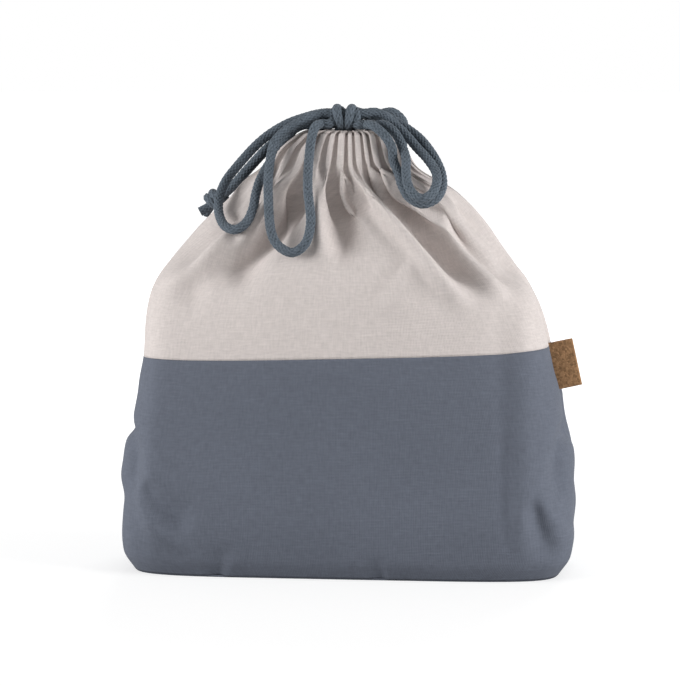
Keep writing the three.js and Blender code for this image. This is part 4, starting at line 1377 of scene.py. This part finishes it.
class LUNCHBAG_OT_stage(bpy.types.Operator):
    """Camera, lamps, world and floor"""

    bl_idname = "lunchbag.stage"
    bl_label = "Stage"

    def execute(self, context):
        stage = context.scene.lunchbag_stage
        self.add_camera(context, stage)
        self.add_world(context, stage)
        for lamp in LAMPS:
            self.add_lamp(context, lamp.name, lamp.place, lamp.size, getattr(stage, lamp.power))
        self.add_floor(context)
        context.scene.view_settings.view_transform = "Standard"
        return {"FINISHED"}

    def add_camera(self, context, stage):
        data = bpy.data.cameras.new("camera")
        data.angle = stage.field
        camera = bpy.data.objects.new("camera", data)
        flat = math.cos(stage.elevation)
        back = Vector(
            (math.sin(stage.azimuth) * flat, -math.cos(stage.azimuth) * flat, math.sin(stage.elevation))
        )
        camera.location = Vector(stage.target) + back * stage.distance
        camera.rotation_euler = (-back).to_track_quat("-Z", "Y").to_euler()
        context.scene.collection.objects.link(camera)
        context.scene.camera = camera

    def add_world(self, context, stage):
        world = bpy.data.worlds.new("studio")
        world.use_nodes = True
        tree = world.node_tree
        seen = add_node(tree, "ShaderNodeLightPath").outputs["Is Camera Ray"]
        strength = calculate(tree, "MULTIPLY_ADD", seen, 1.0 - stage.ambient, stage.ambient)
        background = tree.nodes["Background"]
        background.inputs["Color"].default_value = (1, 1, 1, 1)
        tree.links.new(strength, background.inputs["Strength"])
        context.scene.world = world

    def add_lamp(self, context, name, place, size, power):
        data = bpy.data.lights.new(name, "AREA")
        data.size = size
        data.energy = power
        lamp = bpy.data.objects.new(name, data)
        lamp.location = place
        aim = Vector(LAMP_AIM) - Vector(place)
        lamp.rotation_euler = aim.to_track_quat("-Z", "Y").to_euler()
        context.scene.collection.objects.link(lamp)

    def add_floor(self, context):
        material, tree, shader = new_material("Pale floor")
        shader.inputs["Base Color"].default_value = (FLOOR_GREY, FLOOR_GREY, FLOOR_GREY, 1)
        shader.inputs["Roughness"].default_value = 0.9
        seen = add_node(tree, "ShaderNodeLightPath").outputs["Is Camera Ray"]
        place = add_node(tree, "ShaderNodeTexCoord").outputs["Object"]
        away = add_node(tree, "ShaderNodeVectorMath", operation="LENGTH", inputs={0: place}).outputs["Value"]
        far_glow = add_node(tree, "ShaderNodeMapRange", inputs={"Value": away, **FLOOR_GLOW}).outputs[0]
        strength = calculate(tree, "MULTIPLY", seen, far_glow)
        glow = add_node(tree, "ShaderNodeEmission", inputs={"Strength": strength})
        both = add_node(tree, "ShaderNodeAddShader", inputs={0: shader.outputs[0], 1: glow.outputs[0]})
        tree.links.new(both.outputs[0], tree.nodes["Material Output"].inputs["Surface"])
        bm = bmesh.new()
        bmesh.ops.create_grid(bm, x_segments=1, y_segments=1, size=FLOOR_HALF_SIZE)
        floor = new_piece(bm, "floor", material)


# Pieces


class LUNCHBAG_OT_bow_loops(bpy.types.Operator):
    """The bow's four loops, each hanging from two places"""

    bl_idname = "lunchbag.bow_loops"
    bl_label = "Bow loops"

    def execute(self, context):
        cord = context.scene.lunchbag_cord
        for loop in (LEFT_LONG_LOOP, LEFT_SIDE_LOOP, RIGHT_FRONT_LOOP, RIGHT_BACK_LOOP):
            route = [into_knot(loop.route[0]), *loop.route, into_knot(loop.route[-1])]
            path = cord_route(route)
            piece = braided_cord(f"{loop.name}_cord", path, cord)
            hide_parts(f"{loop.name}_root", loop.name, f"{loop.name}_return")
            first, second = (Vector(loop.route[index]) for index in loop.pivots)
            axis = (second - first).normalized()
            down = Vector((0, 0, -1))
            down = (down - axis * down.dot(axis)).normalized()
            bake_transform(piece)
        return {"FINISHED"}


class LUNCHBAG_OT_drawstrings(bpy.types.Operator):
    """The two drawstrings inside the casings, with their leads up to the knot"""

    bl_idname = "lunchbag.drawstrings"
    bl_label = "Drawstrings"

    def execute(self, context):
        cord = context.scene.lunchbag_cord
        left = drawstring_route(LEFT_FRONT_LEAD, LEFT_BACK_LEAD, UPPER_CORD_LEVEL, -1)
        right = drawstring_route(RIGHT_FRONT_LEAD, RIGHT_BACK_LEAD, LOWER_CORD_LEVEL, 1)
        for name, path in (("left", left), ("right", right)):
            piece = braided_cord(f"{name}_drawstring", path, cord)
            runs = ("cord_front_run", "cord_bight", "cord_back_run", "front_lead", "back_lead")
            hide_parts(*[f"{name}_{run}" for run in runs])
            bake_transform(piece)
        return {"FINISHED"}


class LUNCHBAG_OT_tails(bpy.types.Operator):
    """The two pairs of tails and their end knots"""

    bl_idname = "lunchbag.tails"
    bl_label = "Tails"

    def execute(self, context):
        cord = context.scene.lunchbag_cord
        left_knot = self.end_knot("left_end_knot", (LEFT_TAIL_FRONT, LEFT_TAIL_BACK), cord)
        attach(left_knot, "left_tail")
        for tail in (LEFT_TAIL_FRONT, LEFT_TAIL_BACK):
            path = cord_route([into_knot(tail.route[0]), *tail.route])
            piece = braided_cord(f"{tail.name}_cord", path, cord)
            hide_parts(f"{tail.name}_root", f"{tail.name}_strand")
            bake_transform(piece)
        right_knot = self.end_knot("right_end_knot", (RIGHT_TAIL_OUTER, RIGHT_TAIL_INNER), cord)
        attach(right_knot, "right_tail")
        for tail in (RIGHT_TAIL_OUTER, RIGHT_TAIL_INNER):
            self.right_tail(tail, cord, right_knot)
        return {"FINISHED"}

    def right_tail(self, tail, cord, knot):
        """A root cord that ends short of the pivot, and a strand that hangs from the back casing's edge."""
        whole = cord_route([into_knot(tail.route[0]), *tail.route])
        pivot = np.array(tail.route[tail.pivot])
        parting = int(np.argmin(np.linalg.norm(whole - pivot, axis=1))) - ROOT_SHORT_OF_PIVOT
        root = braided_cord(f"{tail.name}_root_cord", whole[: parting + 1], cord)
        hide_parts(f"{tail.name}_root")
        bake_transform(root)
        strand = braided_cord(f"{tail.name}_cord", whole[parting:], cord)
        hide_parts(f"{tail.name}_strand")
        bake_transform(strand)

    def end_knot(self, name, tails, cord):
        """Two strands drawn together, a wrap round them and their cut ends."""
        ends = [np.array(tail.route[-1]) for tail in tails]
        starts = [np.array(tail.route[-2]) for tail in tails]
        middle = (ends[0] + ends[1]) / 2
        way = middle - (starts[0] + starts[1]) / 2
        way = way / np.linalg.norm(way)
        across = (ends[1] - ends[0]) / np.linalg.norm(ends[1] - ends[0])
        third = np.cross(way, across)
        parts = []
        for index, (end, side) in enumerate(zip(ends, (-1, 1))):
            route = [end + way * along for along in END_STRAIGHT]
            for along, apart, turned in END_STRAND:
                route.append(middle + way * along + across * side * apart + third * side * turned)
            parts.append(braided_cord(f"{name}_end_{index}", cord_route(route), cord, rough_end=True))
        all_turns = END_WRAP_TURNS * 2 * math.pi
        overlap, points = 0.4, 26
        wrap = []
        for turn in np.linspace(-overlap, all_turns + overlap, points):
            along = END_WRAP_START + END_WRAP_LENGTH * turn / all_turns
            apart = across * math.cos(turn) * END_WRAP_HALF_WIDTH
            wrap.append(middle + way * along + apart + third * math.sin(turn) * END_WRAP_HALF_DEPTH)
        for place, along in zip((0, -1), END_WRAP_TUCKS):
            tucked = middle + way * along
            wrap[place] = wrap[place] * (1 - END_WRAP_TUCK_SHARE) + tucked * END_WRAP_TUCK_SHARE
        parts.append(braided_cord(f"{name}_wrap", cord_route(wrap), cord))
        knot = joined(parts, f"{name}_cord")
        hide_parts(name)
        return knot


class LUNCHBAG_OT_bow_knot(bpy.types.Operator):
    """The wraps that hold the bow, and the strands inside them"""

    bl_idname = "lunchbag.bow_knot"
    bl_label = "Bow knot"

    def execute(self, context):
        cord = context.scene.lunchbag_cord
        parts = []
        for wrap in KNOT_WRAPS:
            parts.append(self.wound(wrap, cord))
        width = KNOT_HIGH.x - KNOT_LOW.x
        for index, (y, z) in enumerate(KNOT_STRANDS):
            route = [(KNOT_LOW.x + share * width, y, z) for share in KNOT_STRAND_SHARES]
            parts.append(braided_cord(f"core_{index}", cord_route(route), cord))
        knot = joined(parts, "bow_knot_cord")
        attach(knot, "bag")
        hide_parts("bow_knot")
        return {"FINISHED"}

    def wound(self, wrap, cord):
        """One turn of cord over the bow, from back to front and underneath, leaning out at its top."""
        size = wrap.size
        half = cord.diameter / 2
        depth = (KNOT_HIGH.y - KNOT_LOW.y) / 2 - half
        height = (KNOT_HIGH.z - KNOT_LOW.z) / 2 - half
        overlap, points, squareness = 0.5, 22, 3
        route = []
        for turn in np.linspace(0, 2 * math.pi + overlap, points):
            across, up = math.cos(turn), math.sin(turn)
            corner = (abs(across) ** squareness + abs(up) ** squareness) ** (-1 / squareness)
            route.append(
                (
                    KNOT_MIDDLE.x + wrap.right + wrap.lean * up + WRAP_ADVANCE * turn,
                    KNOT_MIDDLE.y + depth * size * across * corner,
                    KNOT_MIDDLE.z - height * (1 - size) * 0.5 + height * size * up * corner,
                )
            )
        return braided_cord(wrap.name, cord_route(route), cord)


def sew_in(seam, name):
    """Attaches a seam allowance to the bag's body, and hides its solid."""
    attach(seam, "bag")
    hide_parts(name)


class LUNCHBAG_OT_cloth(bpy.types.Operator):
    """The canvas: lower and upper cloth, front and back, in its folds"""

    bl_idname = "lunchbag.cloth"
    bl_label = "Cloth"

    def execute(self, context):
        cloth = context.scene.lunchbag_cloth
        cream = cream_canvas(context.scene)
        slate = slate_canvas(context.scene)
        sewn = sewn_cloth(cloth)
        press_creases(sewn)
        girth = path_length(half_outline(FRONT, BAND.height, 0, 0, cloth.columns))
        _, lengths = half_cloth(FRONT, cloth)
        for name, material, nodes in (
            ("front_lower", slate, ["front_lower_panel"]),
            ("back_lower", slate, ["back_lower_panel"]),
            ("front_upper", cream, ["front_upper_panel", "front_casing"]),
            ("back_upper", cream, ["back_upper_panel", "back_neck_panel", "back_casing"]),
        ):
            piece = panel_piece(sewn, name, f"{name}_cloth", material, cloth.thickness)
            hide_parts(*nodes)
            if name == "back_upper":
                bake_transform(piece)
            else:
                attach(piece, "bag")
        self.add_seams(sewn, cloth, cream, slate)
        bpy.data.meshes.remove(sewn)
        return {"FINISHED"}

    def add_seams(self, sewn, cloth, cream, slate):
        """Seam allowances inside the bag, along its sides and under the colour change."""
        places = vertex_places(sewn)
        rows = vertex_values(sewn, "row")
        edges = vertex_values(sewn, "edge")
        table = cloth_rows()
        for name, code, inward in (("left_side_seam", 1, 1), ("right_side_seam", 2, -1)):
            line = []
            for row, step in enumerate(table):
                if SEAM_FOOT <= step.height <= SLIT_HEIGHT and step.inset == 0:
                    line.append(places[(rows == row) & (edges == code)][0])
            near = np.array(line) + [inward * (cloth.thickness + SIDE_SEAM_GAP), 0, 0]
            far = near + [inward * SEAM_WIDTH, 0, 0]
            seam = strip_piece(f"{name}_cloth", near, far, cream, SIDE_SEAM_THICKNESS)
            seam.modifiers["Canvas"].offset = 0
            sew_in(seam, name)
        normals = vertex_normals(sewn)
        band_row = max(row for row, step in enumerate(table) if step.kind == "lower")
        for name, side in (("front_band_seam", FRONT), ("back_band_seam", BACK)):
            lines = []
            rows_down, just_past_side = 4, -0.001
            for row in (band_row, band_row - rows_down):
                on_row = (rows == row) & (side * places[:, 1] > just_past_side)
                inside = places[on_row] - normals[on_row] * (cloth.thickness + BAND_SEAM_GAP)
                around = np.arctan2(np.maximum(side * inside[:, 1], 0), inside[:, 0])
                lines.append(inside[np.argsort(-around)][::2])
            near = lines[0]
            down = lines[1] - near
            far = near + down / np.linalg.norm(down, axis=1, keepdims=True) * SEAM_WIDTH
            seam = strip_piece(f"{name}_cloth", near, far, slate, BAND_SEAM_THICKNESS)
            sew_in(seam, name)


class LUNCHBAG_OT_base(bpy.types.Operator):
    """The base panel and the two corner seams that box it"""

    bl_idname = "lunchbag.base"
    bl_label = "Base"

    def execute(self, context):
        cloth = context.scene.lunchbag_cloth
        slate = slate_canvas(context.scene)
        divisions = 40
        reach = 0.9975
        bm, uv = new_grid(divisions, divisions, 1.0, "cut")
        for vert in bm.verts:
            across, along = vert.co.x, vert.co.y
            ring = max(abs(across), abs(along))
            power = FOOT.squareness
            spread = (abs(across) ** power + abs(along) ** power) ** (1 / power) or 1.0
            share = reach * ring / spread
            vert.co = (across * share * FOOT.half_width, along * share * FOOT.half_depth, cloth.thickness)
        for face in bm.faces:
            for loop in face.loops:
                loop[uv].uv = (loop.vert.co.x, loop.vert.co.y)
        base = cloth_piece(bm, "base_cloth", slate, cloth.thickness)
        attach(base, "bag")
        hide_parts("base_panel")
        for name in ("left_corner_seam", "right_corner_seam"):
            self.corner_seam(name, slate)
        return {"FINISHED"}

    def corner_seam(self, name, material):
        low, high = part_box(name)
        x = (low.x + high.x) / 2
        count = 24
        places = np.linspace(low.y, high.y, count)
        near = np.column_stack([np.full(count, x), places, np.full(count, low.z)])
        far = near + [0, 0, SEAM_WIDTH]
        seam = strip_piece(f"{name}_cloth", near, far, material, high.x - low.x)
        seam.modifiers["Canvas"].offset = 0
        sew_in(seam, name)


# The tag's layers: half the gap between them, how far each bulges, and how long the fold is for its height.
TAG_HALF_GAP = 0.00015
TAG_BULGE = 0.00035
TAG_FOLD_STRETCH = 1.6
TAG_EDGE = 0.00012


class LUNCHBAG_OT_tag(bpy.types.Operator):
    """The folded cork tag in the right side seam"""

    bl_idname = "lunchbag.tag"
    bl_label = "Tag"

    def execute(self, context):
        tag = context.scene.lunchbag_tag
        joint = next(joint for joint in frame["joints"] if joint["name"] == "tag_flex")
        up = Vector(joint["axis"]).normalized()
        seat = Vector(joint["pos_m"]) - up * tag.lowered
        side = Vector((0, 1, 0))
        out = side.cross(up).normalized()
        half = tag.layer / 2 + TAG_HALF_GAP
        fold_centre = tag.reach - 2 * half
        root = -tag.caught
        layer_points, fold_points = 8, 9
        layer = []
        for share in np.linspace(0, 1, layer_points):
            bulge = TAG_BULGE * math.sin(math.pi * share)
            layer.append((root + share * (fold_centre - root), -half - bulge))
        fold = []
        for turn in np.linspace(-math.pi / 2, math.pi / 2, fold_points)[1:-1]:
            fold.append((fold_centre + TAG_FOLD_STRETCH * half * math.cos(turn), half * math.sin(turn)))
        profile = [*layer, *fold, *((x, -y) for x, y in reversed(layer))]
        last, rows = len(profile) - 1, 24
        bm, _ = new_grid(last, rows, 0.5, "cut")
        for vert in bm.verts:
            column, _ = grid_place(vert, last, rows)
            x, y = profile[column]
            rise = vert.co.y * tag.height
            vert.co = seat + out * x + side * y + up * rise
        bmesh.ops.recalc_face_normals(bm, faces=bm.faces)
        cork = material_named("Cork sheet", lambda: cork_material(tag.colour, tag.granule))
        piece = new_piece(bm, "side_tag_cork", cork)
        sheet = piece.modifiers.new("Cork", "SOLIDIFY")
        sheet.thickness = tag.layer
        sheet.offset = 0
        edge = piece.modifiers.new("Edge", "BEVEL")
        edge.width = TAG_EDGE
        edge.segments = 2
        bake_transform(piece)
        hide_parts("side_tag")
        return {"FINISHED"}


class LUNCHBAG_PT_panel(bpy.types.Panel):
    """Lists the bag's pieces"""

    bl_idname = "LUNCHBAG_PT_panel"
    bl_label = "Lunch Bag"
    bl_space_type = "VIEW_3D"
    bl_region_type = "UI"
    bl_category = "Lunch Bag"

    def draw(self, context):
        for operator in OPERATORS:
            self.layout.operator(operator.bl_idname)
        for group in SETTINGS:
            settings = getattr(context.scene, group)
            for name in settings.__annotations__:
                self.layout.prop(settings, name)


OPERATORS = (
    LUNCHBAG_OT_stage,
    LUNCHBAG_OT_drawstrings,
    LUNCHBAG_OT_bow_loops,
    LUNCHBAG_OT_tails,
    LUNCHBAG_OT_bow_knot,
    LUNCHBAG_OT_cloth,
    LUNCHBAG_OT_base,
    LUNCHBAG_OT_tag,
)
SETTINGS = {
    "lunchbag_cloth": LUNCHBAG_PG_cloth,
    "lunchbag_cord": LUNCHBAG_PG_cord,
    "lunchbag_tag": LUNCHBAG_PG_tag,
    "lunchbag_stage": LUNCHBAG_PG_stage,
}


def register():
    for group in SETTINGS.values():
        bpy.utils.register_class(group)
    for name, group in SETTINGS.items():
        setattr(bpy.types.Scene, name, PointerProperty(type=group))
    for operator in OPERATORS:
        bpy.utils.register_class(operator)
    bpy.utils.register_class(LUNCHBAG_PT_panel)


def unregister():
    bpy.utils.unregister_class(LUNCHBAG_PT_panel)
    for operator in reversed(OPERATORS):
        bpy.utils.unregister_class(operator)
    for name, group in SETTINGS.items():
        delattr(bpy.types.Scene, name)
        bpy.utils.unregister_class(group)


def main():
    register()
    bpy.ops.lunchbag.stage()
    bpy.ops.lunchbag.drawstrings()
    bpy.ops.lunchbag.bow_loops()
    bpy.ops.lunchbag.tails()
    bpy.ops.lunchbag.bow_knot()
    bpy.ops.lunchbag.cloth()
    bpy.ops.lunchbag.base()
    bpy.ops.lunchbag.tag()


if __name__ == "__main__":
    main()
